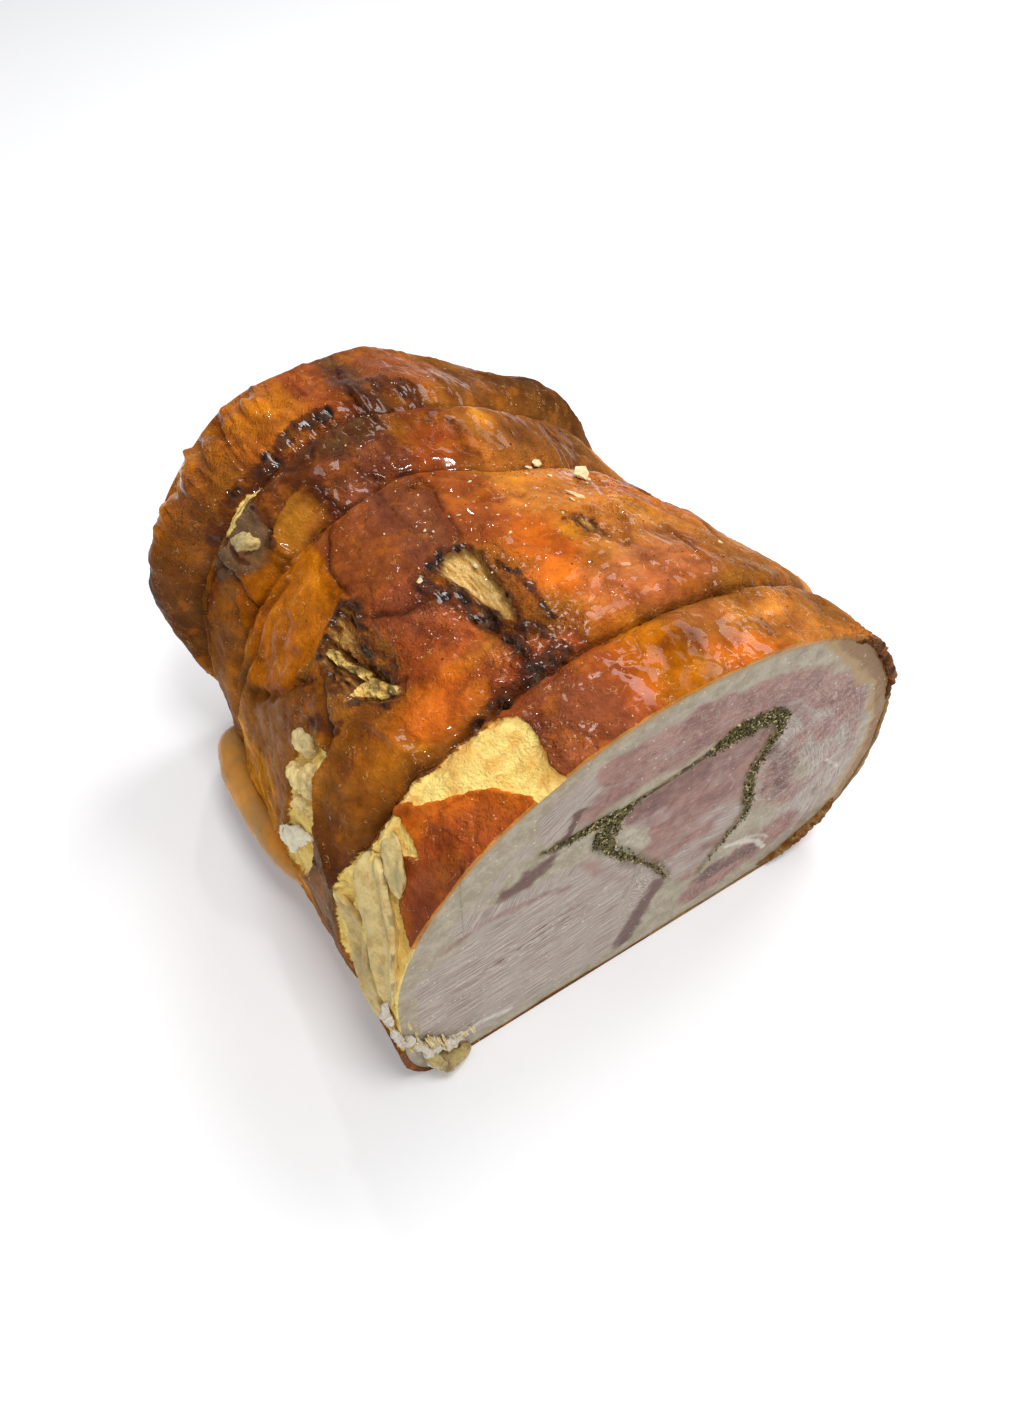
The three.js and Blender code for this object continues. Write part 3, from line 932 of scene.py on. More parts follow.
class SkinSurvey:
    """Works out the skin's fine relief and what shows on it."""

    def __init__(self) -> None:
        """Prepares the noises."""
        self.soft = Lumpiness(11)
        self.fine = Lumpiness(23)
        self.thread = Lumpiness(37)

    def _stain(self, angle: Array, y: Array) -> Array:
        """The skin's colour."""
        tone = np.broadcast_to(Tone.OCHRE.light, (*y.shape, 3))
        sway = 3.2 * self.soft.layers(angle / 9, y / 16, 3.0)
        drift = 4.5 * self.soft.layers(angle / 9, y / 16, 9.0)
        for stain in STAINS:
            across = turn(angle + sway, stain.angle) / stain.spread
            distance = across**2 + ((y + drift - stain.y) / stain.half) ** 2
            cover = stain.strength * np.exp(-distance * (0.35 + 0.65 * distance))
            tone = stain.tone.over(tone, cover)
        return tone

    def _sway(self, x: Array, y: Array, level: float, fine_level: float) -> Array:
        """How far places are moved so that straight lines wander."""
        wide = 1.5 * self.soft.layers(x / 20, y / 20, level, 2)
        return wide + 0.6 * self.fine.layers(x / 4, y / 4, fine_level, 2)

    def _strips(self, x: Array, y: Array, tone: Array) -> Pair:
        """Lays the strips over the tone; returns the relief and the painted shade along their edges."""
        lift, edge = np.zeros((2, *y.shape))
        for strip in STRIPS:
            corners = flat(strip.outline)
            near = around(x, y, corners, 6 + 3 * strip.soft)
            if not near.any():
                continue
            twice = np.vstack([corners[-1:], corners, corners[:2]])
            outline = smooth_path(twice, 4 * len(corners) + 8)[4:-4]
            gap = outline_gap(x[near], y[near], outline)
            cover = strip.strength * ease(0.5 - gap / (2 * strip.soft))
            tone[near] = strip.tone.over(tone[near], cover)
            lift[near] += strip.rise * (ease(0.5 - gap / 1.4) + 0.5 * bell((gap + 1.4) / 1.2))
            # painted shade along the edge of the strip, where a raised strip stands over the skin
            edge[near] = np.maximum(edge[near], strip.dark * bell((gap - 0.3) / 1.3))
        return lift, edge

    def _creases(self, x: Array, y: Array) -> tuple[Array, Array, Array, Array]:
        """Relief of the creases, how much painted shade falls at one, its signed gap, and the wider painted
        shade about it.
        """
        lift, darkest_shade, painted_crease_shade = np.zeros((3, *y.shape))
        cleft = np.full(y.shape, CLEFT_REACH)
        vary = 0.8 + 0.5 * self.fine.at(x / 6, y / 6, 8.0)
        for crease in (*CREASES, *hidden_creases()):
            path = smooth_path(crease.path, 4 * len(crease.path)) * (ARC, 1)
            centre = np.mean(crease.path, 0)
            reach = np.ptp(crease.path, 0) / 2 + (8 * crease.width + 9) / np.array([ARC, 1])
            near = (np.abs(x / ARC - centre[0]) < reach[0]) & (np.abs(y - centre[1]) < reach[1])
            if not near.any():
                continue
            gap, place, side = path_gap(x[near], y[near], path)
            ends = ease(place / 2) * ease((len(path) - 1 - place) / 2)
            line = bell(gap / crease.width) * ends * vary[near]
            pillow = bell((gap - 2.6 * crease.width) / (1.8 * crease.width)) * ends
            lift[near] += crease.depth * (0.35 * pillow - line)
            # painted shade at the crease: its fine dark line and soft shadow
            close = crease.dark * bell(gap / (0.7 + crease.width)) * ends
            aside = np.clip(gap * side, -CLEFT_REACH, CLEFT_REACH)
            cleft[near] = np.where(close > darkest_shade[near], aside, cleft[near])
            darkest_shade[near] = np.maximum(darkest_shade[near], close)
            # a wider painted shade beside the crease, which darkens the tone
            painted_crease_shade[near] = np.maximum(painted_crease_shade[near], crease.dark * bell(gap / 4.0) * ends)
        return lift, darkest_shade, cleft, painted_crease_shade

    def _strings(self, x: Array, y: Array) -> tuple[Array, Array, Array]:
        """Relief of the cracks in the string grooves, how much painted shade falls at one, and the signed
        gap.
        """
        lift, darkest_shade, cleft = 0.0, 0.0 * y, CLEFT_REACH + 0.0 * y
        wander = 0.35 * self.fine.layers(x / 5, 0 * y + 2.0)
        vary = np.clip(0.85 + 0.5 * self.soft.at(x / 9, 0 * y + 5.0), 0.4, 1)
        for groove in STRINGS:
            gap = y - groove.y - wander
            lift = lift - STRING_CRACK.depth * bell(gap / STRING_CRACK.width) * vary
            # painted shade in the string groove's crack
            close = STRING_CRACK.dark * bell(gap / 2.2) * vary
            cleft = np.where(close > darkest_shade, np.clip(gap, -CLEFT_REACH, CLEFT_REACH), cleft)
            darkest_shade = np.maximum(darkest_shade, close)
        return lift, darkest_shade, cleft

    def _scorch(self, x: Array, y: Array) -> Array:
        """How burnt the skin is."""
        burnt = np.zeros(y.shape)
        ragged = self.fine.layers(x / 4.5, y / 4.5, 6.0, 2)
        patchy = np.clip(0.8 + 0.55 * self.soft.layers(x / 8, y / 8, 4.0, 2), 0.2, 1)
        for scorch in SCORCHES:
            gap = path_gap(x, y, flat(scorch.path))[0]
            near = ease(1.5 - (gap + 0.45 * scorch.reach * ragged) / scorch.reach)
            burnt = np.maximum(burnt, scorch.strength * near)
        return burnt * patchy

    def _shrivel(self, angle: Array, x: Array, y: Array) -> Pair:
        """Relief of the crinkled areas, and how crinkled each place is."""
        ridge = 1 - 2.6 * np.abs(self.fine.layers(x / 3.8, y / 3.8, 1.0, 2))
        long_ridge = 1 - 3.4 * np.abs(self.thread.layers(x / 5.0, y / 30, 1.0, 2))
        lift, amount = np.zeros((2, *y.shape))
        for area in SHRIVELS:
            cover = bell(turn(angle, area.angle) / area.spread) * bell((y - area.y) / area.half)
            lift += area.height * cover * (long_ridge if area.lengthwise else ridge) * 0.6
            amount = np.maximum(amount, cover * min(area.height * 1.3, 1))
        knobs = self.soft.layers(x / 7, y / 24, 19.0, 2)
        lift += 5.0 * knobs * bell((y - LENGTH) / 14) * bell(turn(angle, 134) / 30)
        return lift, amount

    def _surface(self, x: Array, y: Array, bent: Pair) -> tuple[Array, Array, Array]:
        """The whole skin's bubbles and puckers: relief, bubbles and folds."""
        bent_x, bent_y = bent
        pillow = self.soft.layers(bent_x / 10, bent_y / 13, 2.0, 2)
        fold = bell(self.thread.at(bent_x / 15, bent_y / 19, 31.0) / 0.05)
        fold = fold * ease(self.soft.at(x / 24, y / 24, 9.0) * 4 + 0.3)
        lift = 1.1 * self.soft.layers(x / 26, y / 30, 0.0, 2) + 0.5 * pillow - 0.5 * fold
        pucker = 1 - 2.6 * np.abs(self.thread.layers(bent_x / 6, bent_y / 9, 51.0, 2))
        area = ease(0.55 + 1.3 * self.fine.at(x / 18, y / 18, 53.0))
        return lift + 0.42 * pucker * area, pillow, fold

    def read(self, angle: Array, y: Array) -> tuple[Array, Marks]:
        """The skin's fine relief and marks.

        Args:
            angle: degrees round the axis, as a full array.
            y: place along the skin, as a full array.

        Returns:
            The height over the form, and the marks by name.
        """
        x = angle * ARC
        bent = bent_x, bent_y = x + self._sway(x, y, 13.0, 4.0), y + self._sway(x, y, 17.0, 24.0)
        lift, pillow, fold = self._surface(x, y, bent)
        tone = self._stain(angle, y)
        laid, strip_edge_shade = self._strips(*bent, tone)
        creased, crease_shadow, crease_cleft, painted_crease_shade = self._creases(*bent)
        cracked, string_shadow, string_cleft = self._strings(x, y)
        crinkled, crinkle = self._shrivel(angle, x, y)
        burnt = self._scorch(*bent)
        # Painted shade: the tone is darkened and reddened beside creases, in the string grooves and in the
        # folds; painted shade and light follow the pillowed relief, darker in its hollows and lighter on
        # its tops.
        depth = 0.5 * painted_crease_shade + 0.35 * bell(string_shadow - 1) * string_shadow + 0.22 * fold
        pillow_shade_strength = 0.12 + 0.4 * ease(1.6 * self.soft.at(x / 40, y / 40, 21.0) + 0.4)
        shaded = np.exp(pillow_shade_strength * pillow - depth)[..., None]
        tone = tone * np.concatenate([shaded, shaded**1.25, shaded**1.4], -1)
        lift = lift + creased + cracked + crinkled + laid
        ragged = 0.7 * self.fine.layers(x / 3, y / 3, 3.0, 3)
        strands = (x + 3.0 * self.soft.at(x / 14, y / 18, 6.0)) / 2.2
        threads = 1 - 2.0 * np.abs(self.thread.layers(strands, y / 26, 2.0, 3))
        patchy = 0.72 + 0.8 * self.soft.layers(x / 7, y / 7, 14.0, 2) + 0.3 * ragged
        torn, dull = np.full(y.shape, -EDGE_REACH), np.zeros(y.shape)
        for gash in GASHES:
            outline = flat(gash.outline)
            gap = outline_gap(*bent, outline) + 0.6 * ragged
            floor = ease(-gap / 1.8)
            lift = lift - gash.depth * floor + gash.fibre * floor * threads
            lift = lift + 0.9 * bell((gap - 0.9) / 1.2)
            slope, level = np.polyfit(outline[:, 1], outline[:, 0], 1)
            left = ease((bent_x - slope * bent_y - level) / 3 + 0.5)
            lip = mix(gash.right_lip, gash.left_lip, left)
            charred = ease((gap + 0.9) / 0.6) * ease(1.25 - gap / (2 * lip))
            burnt = np.maximum(burnt, charred * np.clip(patchy, 0.22, 1))
            dull = np.where(-gap > torn, gash.dull + 0.3 * ease((gash.below - y) / 14), dull)
            torn = np.maximum(torn, -gap)
        crumple = 1 - 2.6 * np.abs(self.fine.layers(bent_x / 3.4, bent_y / 9, 15.0, 2))
        burnt = burnt * mix(1.0, 0.6, ease(0.9 * crumple + 0.2))
        lift = lift + 1.1 * burnt * (crumple - 0.2)
        lumps = 0.35 * self.soft.layers(x / 5, y / 5, 12.0, 3)
        bare, rich = np.full(y.shape, -EDGE_REACH), np.zeros(y.shape)
        for patch in BARE_FAT:
            raised = patch.drop < -1
            gap = outline_gap(*bent, flat(patch.outline)) + (0.25 if raised else 0.6) * ragged
            lift = lift + ease(0.5 - gap / 0.9) * (lumps - patch.drop)
            lift = lift + min(patch.drop, 1) * 0.6 * bell((gap - 0.9) / 0.8)
            if raised:
                torn = np.minimum(torn, gap)
            rich = np.where(-gap > bare, patch.rich, rich)
            bare = np.maximum(bare, -gap)
        marks = {
            "tone": tone,
            "lie": np.stack([y / 10, x / 10, 0 * y], -1),
            "bare": np.clip(bare, -EDGE_REACH, EDGE_REACH),
            "rich": rich,
            "torn": np.clip(torn, -EDGE_REACH, EDGE_REACH),
            "thread": np.clip(0.66 + 0.3 * threads - dull, 0, 1),
            "burnt": burnt,
            # painted shade of the creases, string cracks and strip edges, which the skin finish lays as
            # dark lines and soft shadow
            "crease": np.maximum(np.maximum(crease_shadow, string_shadow), strip_edge_shade),
            "cleft": np.where(crease_shadow > string_shadow, crease_cleft, string_cleft),
            "crinkle": crinkle,
            "greasy": 0.3 + 0.7 * ease((angle - 34) / 40) * ease((166 - angle) / 30),
        }
        return lift, marks


# ---- finishes
Socket = bpy.types.NodeSocket
Screen = tuple[int, int, int]


@dataclass(frozen=True)
class Wire:
    """A node's output, which can be used in sums."""

    recipe: "Recipe"
    socket: Socket

    def __add__(self, other: "Wire | float") -> "Wire":
        """The sum."""
        return self.recipe.calc("ADD", self, other)

    def __sub__(self, other: "Wire | float") -> "Wire":
        """The difference."""
        return self.recipe.calc("SUBTRACT", self, other)

    def __rsub__(self, other: float) -> "Wire":
        """A number less this."""
        return self.recipe.calc("SUBTRACT", other, self)

    def __mul__(self, other: "Wire | float") -> "Wire":
        """The product."""
        return self.recipe.calc("MULTIPLY", self, other)

    def __truediv__(self, other: "Wire | float") -> "Wire":
        """The quotient."""
        return self.recipe.calc("DIVIDE", self, other)

    def __abs__(self) -> "Wire":
        """The size without its sign."""
        return self.recipe.calc("ABSOLUTE", self)


class Recipe:
    """Lays out the nodes of one material or node group."""

    def __init__(self, tree: bpy.types.NodeTree) -> None:
        """Starts on an empty tree; patterns are made from the place."""
        self.tree = tree
        self.place: Wire | None = None

    def add(self, kind: str, **settings: object) -> bpy.types.Node:
        """A new node with its settings."""
        node = self.tree.nodes.new(kind)
        for name, value in settings.items():
            setattr(node, name, value)
        return node

    def put(self, socket: Socket, value: object) -> None:
        """Links a wire to an input, or sets the input."""
        if isinstance(value, Wire):
            self.tree.links.new(value.socket, socket)
        else:
            socket.default_value = value

    def feed(self, node: bpy.types.Node, **inputs: object) -> "Wire":
        """Feeds inputs by name, with _ for a space, and gives the first output."""
        for name, value in inputs.items():
            self.put(node.inputs[name.replace("_", " ")], value)
        return Wire(self, node.outputs[0]) if node.outputs else None

    def mark(self, name: str, colour: bool = False) -> Wire:
        """A mark that the mesh carries."""
        node = self.add("ShaderNodeAttribute", attribute_name=name)
        return Wire(self, node.outputs["Color" if colour else "Fac"])

    def calc(self, action: str, *values: object) -> Wire:
        """A sum of numbers or wires."""
        node = self.add("ShaderNodeMath", operation=action)
        for socket, value in zip(node.inputs, values):
            self.put(socket, value)
        return Wire(self, node.outputs[0])

    def step(self, value: Wire, low: float, high: float) -> Wire:
        """A smooth step from 0 at low to 1 at high."""
        node = self.add("ShaderNodeMapRange", interpolation_type="SMOOTHSTEP")
        return self.feed(node, Value=value, From_Min=low, From_Max=high)

    def span(self, value: Wire, low: float, high: float, to_low: float, to_high: float) -> Wire:
        """A value moved from one range to another."""
        node = self.add("ShaderNodeMapRange")
        return self.feed(node, Value=value, From_Min=low, From_Max=high, To_Min=to_low, To_Max=to_high)

    def swing(self, value: Wire, reach: float) -> Wire:
        """A value of 0 to 1 moved to both sides of 0."""
        return self.span(value, 0, 1, -reach, reach)

    def blend(self, share: object, a: Wire | Screen, b: Wire | Screen) -> Wire:
        """Colour a, with b over it by share."""
        node = self.add("ShaderNodeMix", data_type="RGBA")
        for index, value in ((0, share), (6, a), (7, b)):
            self.put(node.inputs[index], (*linear(*value), 1) if isinstance(value, tuple) else value)
        return Wire(self, node.outputs[2])

    def noise(self, scale: object, detail: float = 3, rough: float = 0.5, place: object = None) -> Wire:
        """Soft noise of 0 to 1."""
        node = self.add("ShaderNodeTexNoise")
        return self.feed(node, Vector=place or self.place, Scale=scale, Detail=detail, Roughness=rough)

    def patches(self, scale: float, low: float, high: float, detail: float = 3, rough: float = 0.5) -> Wire:
        """Patches of 1 where noise is over high, fading to 0 at low."""
        return self.step(self.noise(scale, detail, rough), low, high)

    def cells(self, scale: object) -> tuple[Wire, Wire, Wire]:
        """Distance to the middle of the nearest cell, and two random values of that cell."""
        node = self.add("ShaderNodeTexVoronoi")
        self.feed(node, Vector=self.place, Scale=scale)
        split = self.add("ShaderNodeSeparateColor")
        self.feed(split, Color=Wire(self, node.outputs["Color"]))
        return tuple(Wire(self, s) for s in (node.outputs["Distance"], *split.outputs[:2]))


class Effect(Enum):
    """Shader node groups that several finishes share."""

    MOTTLE = "soft mottling"
    WRINKLES = "fine wrinkles"
    SPECKS = "small specks"
    FIBRES = "fibres"


class Effects:
    """Builds the shared node groups once."""

    def __init__(self) -> None:
        """Makes every group."""
        self.trees: dict[Effect, bpy.types.NodeTree] = {}
        self._make(Effect.MOTTLE, self._mottle, Scale=100.0)
        self._make(Effect.WRINKLES, self._wrinkles, Scale=500.0, Pores=0.3)
        self._make(Effect.SPECKS, self._specks, Scale=300.0, Share=0.2, Size=0.25)
        self._make(Effect.FIBRES, self._fibres, Scale=400.0, Stretch=10.0)

    def _make(self, effect: Effect, pattern: Callable[..., Wire], **inputs: float) -> None:
        """Makes a group with a Vector input, number inputs and the output Value."""
        tree = bpy.data.node_groups.new(effect.value, "ShaderNodeTree")
        tree.interface.new_socket("Vector", in_out="INPUT", socket_type="NodeSocketVector")
        for name, value in inputs.items():
            made = tree.interface.new_socket(name, in_out="INPUT", socket_type="NodeSocketFloat")
            made.default_value = value
        tree.interface.new_socket("Value", in_out="OUTPUT", socket_type="NodeSocketFloat")
        recipe = Recipe(tree)
        source = recipe.add("NodeGroupInput").outputs
        recipe.place = Wire(recipe, source["Vector"])
        value = pattern(recipe, *(Wire(recipe, source[name]) for name in inputs))
        recipe.feed(recipe.add("NodeGroupOutput"), Value=value)
        self.trees[effect] = tree

    @staticmethod
    def _mottle(r: Recipe, scale: Wire) -> Wire:
        """Uneven tone in two sizes, about 0.5 on average."""
        return r.noise(scale) * 0.6 + r.noise(scale * 4.7, 4, 0.6) * 0.4

    @staticmethod
    def _wrinkles(r: Recipe, scale: Wire, pores: Wire) -> Wire:
        """Height of thin-skinned wrinkles: creased cells over soft pores."""
        ridge = 1 - abs(r.noise(scale, 2) - 0.5) * 5
        return ridge * 0.5 + r.noise(scale * 3.1) * pores

    @staticmethod
    def _specks(r: Recipe, scale: Wire, share: Wire, size: Wire) -> Wire:
        """Small round specks, sparse where Share is low."""
        middle, first, second = r.cells(scale)
        return r.calc("LESS_THAN", first, share) * r.calc("LESS_THAN", middle, size * second)

    @staticmethod
    def _fibres(r: Recipe, scale: Wire, stretch: Wire) -> Wire:
        """Streaks along the Vector's x, about 0.5 on average."""
        split = r.add("ShaderNodeSeparateXYZ")
        slow = r.feed(split, Vector=r.place) / stretch
        y, z = (Wire(r, socket) for socket in split.outputs[1:])
        return r.noise(scale, 4, place=r.feed(r.add("ShaderNodeCombineXYZ"), X=slow, Y=y, Z=z))


@dataclass(frozen=True)
class Gloss:
    """The constant shader values of one finish."""

    name: str
    roughness: float
    coat: float
    coat_roughness: float
    scatter: float
    sheen: float = 0.1
    scatter_radius: tuple[float, float, float] = (0.004, 0.0018, 0.0009)


class Paint(Recipe):
    """Lays out one material, whose colour is laid in coats."""

    def __init__(self, gloss: Gloss, trees: dict[Effect, bpy.types.NodeTree]) -> None:
        """Starts a material with its shader's constants."""
        self.material = bpy.data.materials.new(gloss.name)
        self.material.use_nodes = True
        super().__init__(self.material.node_tree)
        self.place = Wire(self, self.add("ShaderNodeTexCoord").outputs["Object"])
        self.trees = trees
        self.colour: Wire | None = None
        self.shader = self.tree.nodes["Principled BSDF"]
        self.feed(
            self.shader, Roughness=gloss.roughness, IOR=1.3, Specular_IOR_Level=gloss.sheen,
            Coat_Weight=gloss.coat, Coat_IOR=1.32, Coat_Roughness=gloss.coat_roughness,
            Subsurface_Weight=gloss.scatter, Subsurface_Radius=gloss.scatter_radius,
            Subsurface_Scale=1.0,
        )

    def effect(self, effect: Effect, place: Wire | None = None, **inputs: float) -> Wire:
        """A shared effect."""
        node = self.add("ShaderNodeGroup", node_tree=self.trees[effect])
        return self.feed(node, Vector=place or self.place, **inputs)

    def shade(self, scale: float) -> Wire:
        """The mottling effect's shade."""
        return self.effect(Effect.MOTTLE, Scale=scale)

    def specks(self, scale: float, share: float, size: float) -> Wire:
        """The speck effect's mask."""
        return self.effect(Effect.SPECKS, Scale=scale, Share=share, Size=size)

    def vary(self, colour: Wire, shade: Wire, low: float, high: float) -> Wire:
        """A colour made darker and lighter by a shade of 0 to 1."""
        value = self.span(shade, 0.3, 0.7, low, high)
        return self.feed(self.add("ShaderNodeHueSaturation"), Color=colour, Value=value)

    def ramp(self, value: Wire, low: float, high: float, dark: Screen, light: Screen) -> None:
        """Starts the colour: dark where the value is low, light where it is high."""
        self.colour = self.blend(self.step(value, low, high), dark, light)

    def lay(self, share: Wire, over: Wire | Screen) -> None:
        """Lays a coat over the colour by share."""
        self.colour = self.blend(share, self.colour, over)

    def close(self, height: Wire, depth: float, **inputs: Wire) -> Material:
        """Feeds the colour, a relief of depth metres and other inputs to the shader."""
        bump = self.feed(self.add("ShaderNodeBump"), Height=height, Distance=depth, Strength=1.0)
        self.feed(self.shader, Base_Color=self.colour, Normal=bump, **inputs)
        return self.material

    def finish(self, shade: Wire, rough: tuple[float, float], height: Wire, depth: float) -> Material:
        """Closes with a roughness that follows a shade."""
        return self.close(height, depth, Roughness=self.span(shade, 0.3, 0.7, *rough))


class Finishes:
    """Builds the roast's materials."""

    def __init__(self) -> None:
        """Makes the shared effects, then each material."""
        self.trees = Effects().trees
        self.skin = self._skin()
        self.rolled = self._rolled_edge()
        self.cut = self._cut()
        self.fat = self._fat()
        self.herbs = self._herbs()
        self.flakes = self._flakes()
        self.jelly = self._jelly()
        self.crumbs = self._crumbs()
        self.cinder = self._cinder()

    def _start(self, *values: object) -> Paint:
        """A new material from its Gloss values."""
        return Paint(Gloss(*values), self.trees)

    def _skin(self) -> Material:
        """Browned, greasy skin with creases, burnt places, torn fibres and bare fat."""
        r = self._start("roasted skin", 0.5, 0.2, 0.06, 0.0, 0.0)
        r.colour = r.vary(r.mark("tone", True), r.shade(75), 0.66, 1.3)
        r.colour = r.vary(r.colour, r.shade(420), 0.84, 1.15)
        r.lay(r.patches(110, 0.5, 0.68, 4, 0.6) * 0.26, (226, 128, 28))
        r.lay(r.patches(85, 0.5, 0.64, 5, 0.62) * 0.34, (96, 40, 18))
        r.lay(r.specks(330, 0.16, 0.3) * r.patches(45, 0.5, 0.65, 2) * 0.75, (52, 26, 14))
        # painted highlights: tiny pale specks and thin broken pale lines stand in for glints of light on
        # the wet skin
        r.lay(r.specks(900, 0.16, 0.32) * r.patches(50, 0.46, 0.6) * 0.5, (244, 206, 160))
        glint_lines = 1 - r.step(abs(r.noise(110, 3, 0.6) - 0.5), 0.002, 0.007)
        r.lay(glint_lines * r.patches(190, 0.52, 0.6, 2) * 0.4, (240, 190, 130))
        # painted shade along creases, string cracks and strip edges
        r.lay(self._painted_crease_shade(r), (46, 20, 10))
        ragged = r.noise(520, 5, 0.65)
        burnt = r.mark("burnt") + r.swing(ragged, 0.3)
        r.lay(r.step(burnt, 0.1, 0.5) * 0.8, (88, 40, 20))
        char = r.step(burnt, 0.4, 0.85)
        coal = r.blend(r.patches(260, 0.42, 0.6, 5, 0.66), (20, 13, 9), (88, 62, 44))
        r.lay(char * 0.92, coal)
        mask, pale = self._bare_fat(r, ragged, burnt)
        r.lay(mask, pale)
        r.lay(*self._torn_fibres(r, ragged, burnt))
        rough = mask * 0.18 + 0.42
        rough = rough + (0.28 - rough) * char
        wet = r.span(r.noise(38), 0.38, 0.62, 0.1, 0.75) - mask * 0.35
        wet = (char * 0.8 + wet + r.mark("crinkle") * 0.5) * r.mark("greasy")
        fine = r.effect(Effect.WRINKLES, Scale=520, Pores=0.35)
        height = fine * (r.mark("crinkle") * 1.4 + 0.5)
        height = r.noise(1300, 2) * (char * 0.3 + 0.2) + height
        height = r.noise(240, 2) * 0.6 + height
        return r.close(height, 0.0008, Roughness=rough, Coat_Weight=wet)

    def _rolled_edge(self) -> Material:
        """Smooth, wet skin of the rolled-under edge."""
        r = self._start("rolled skin edge", 0.34, 0.5, 0.08, 0.1, 0.1)
        shade = r.shade(70)
        r.colour = r.vary(r.mark("tone", True), shade, 0.82, 1.14)
        return r.finish(shade, (0.28, 0.42), r.noise(200), 0.0004)

    @staticmethod
    def _painted_crease_shade(r: Paint) -> Wire:
        """Painted shade of the creases: a fine dark line in a soft painted shadow."""
        near = r.mark("crease")
        off = abs(r.mark("cleft") + r.swing(r.noise(700, 3, 0.6), 0.5))
        broken = r.span(r.noise(150), 0.4, 0.6, 0.15, 0.85)
        line = (1 - r.step(off, 0.1, 0.5)) * broken * r.step(near, 0.2, 0.9)
        return r.calc("MAXIMUM", line, near * 0.45)

    @staticmethod
    def _bare_fat(r: Paint, ragged: Wire, burnt: Wire) -> tuple[Wire, Wire]:
        """Mask and colour of the fat laid bare on the skin."""
        edge = r.mark("bare") + r.swing(ragged, 0.9)
        pale = r.blend(r.step(r.shade(160), 0.34, 0.58), (226, 184, 96), (250, 222, 132))
        pale = r.blend(r.mark("rich") * r.patches(110, 0.42, 0.62), pale, (226, 132, 34))
        pale = r.blend(r.patches(500, 0.6, 0.75, 3, 0.7) * 0.22, pale, (176, 112, 40))
        soot = r.step(burnt, 0.25, 0.7) * 0.85
        return r.step(edge, -0.15, 0.35), r.blend(soot, pale, (60, 36, 20))

    @staticmethod
    def _torn_fibres(r: Paint, ragged: Wire, burnt: Wire) -> tuple[Wire, Wire]:
        """Mask and colour of the fibres in the gashes."""
        streaks = r.effect(Effect.FIBRES, r.mark("lie", True), Scale=6, Stretch=7)
        thread = r.mark("thread") + r.swing(streaks, 0.5)
        colour = r.blend(r.step(thread, 0.0, 0.3), (50, 28, 14), (138, 82, 32))
        colour = r.blend(r.step(thread, 0.22, 0.7), colour, (204, 158, 84))
        colour = r.blend(r.step(thread, 0.7, 1.0), colour, (228, 192, 124))
        colour = r.blend(r.step(burnt, 0.4, 0.8) * 0.9, colour, (28, 18, 12))
        edge = r.mark("torn") + r.swing(ragged, 1.0)
        colour = r.blend((1 - r.step(edge, 0.3, 2.4)) * 0.75, colour, (92, 56, 26))
        return r.step(edge, 0.0, 0.5), colour

    def _cut(self) -> Material:
        """Cut meat: grey-green fat, mauve lean, streaks and a thin rind."""
        r = self._start("cut meat", 0.4, 0.35, 0.2, 0.15, 0.1, (0.005, 0.002, 0.0012))
        grain = r.mark("grain", True)
        fibres = r.effect(Effect.FIBRES, grain, Scale=1.6, Stretch=26)
        shade = r.shade(160)
        loose = r.swing(r.noise(110, 6, 0.68), 0.9)
        r.ramp(shade, 0.36, 0.64, (158, 145, 120), (184, 172, 150))
        pale = r.blend(r.step(fibres, 0.34, 0.66), (148, 131, 120), (194, 181, 168))
        r.lay(r.step(r.mark("meat") + loose * 0.5, 0.2, 0.8), pale)
        flesh = r.blend(r.step(r.shade(60), 0.38, 0.6), (136, 95, 85), (168, 127, 114))
        lean = (fibres - 0.5) * 0.7 + r.mark("lean")
        lean = r.swing(r.noise(42), 0.9) * 0.6 + lean + loose * 0.6
        r.lay(r.step(lean, 0.1, 0.9), r.vary(flesh, fibres, 0.78, 1.18))
        r.lay(r.step(r.mark("deep") + loose * 0.65, 0.2, 0.85) * 0.92, (98, 62, 54))
        ridge = abs(r.noise(0.22, 5, 0.68, grain) - 0.5)
        vein = (1 - r.step(ridge, 0.002, 0.022)) * r.mark("veined")
        r.lay(vein * 0.45, (214, 204, 186))
        white = r.mark("white") + r.swing(r.noise(420, 5, 0.7), 0.6)
        r.lay(r.step(white, 0.3, 1.0) * 0.8, (222, 214, 200))
        rind = r.mark("rind") + loose * 0.25
        r.lay(r.step(rind, 0.1, 0.7), (172, 140, 94))
        r.lay(r.step(rind, 0.8, 1.15) * 0.8, (136, 96, 50))
        r.lay(r.step(r.mark("green"), 0.15, 1.0), (110, 100, 66))
        r.lay(r.specks(420, 0.2, 0.3) * 0.5, (232, 224, 206))
        r.colour = r.vary(r.colour, r.shade(520), 0.9, 1.1)
        height = r.noise(900, 3, 0.6) * 0.6 + fibres * 0.5
        return r.finish(shade, (0.3, 0.5), height, 0.00035)

    def _fat(self) -> Material:
        """Soft torn fat, cream to yellow, with brown laid over it: painted shade at its edges and on the
        flaps that face away from the light, browning on the knot.
        """
        r = self._start("torn fat", 0.5, 0.25, 0.3, 0.2, 0.1, (0.005, 0.004, 0.002))
        shade = r.shade(190)
        r.ramp(shade, 0.32, 0.6, (204, 170, 102), (236, 212, 148))
        r.lay(r.patches(55, 0.5, 0.68) * 0.6, (158, 144, 108))
        r.lay(r.step(r.mark("white"), 0.3, 0.7), (240, 230, 200))
        r.lay(r.patches(620, 0.6, 0.72, 4, 0.7) * 0.2, (166, 118, 60))
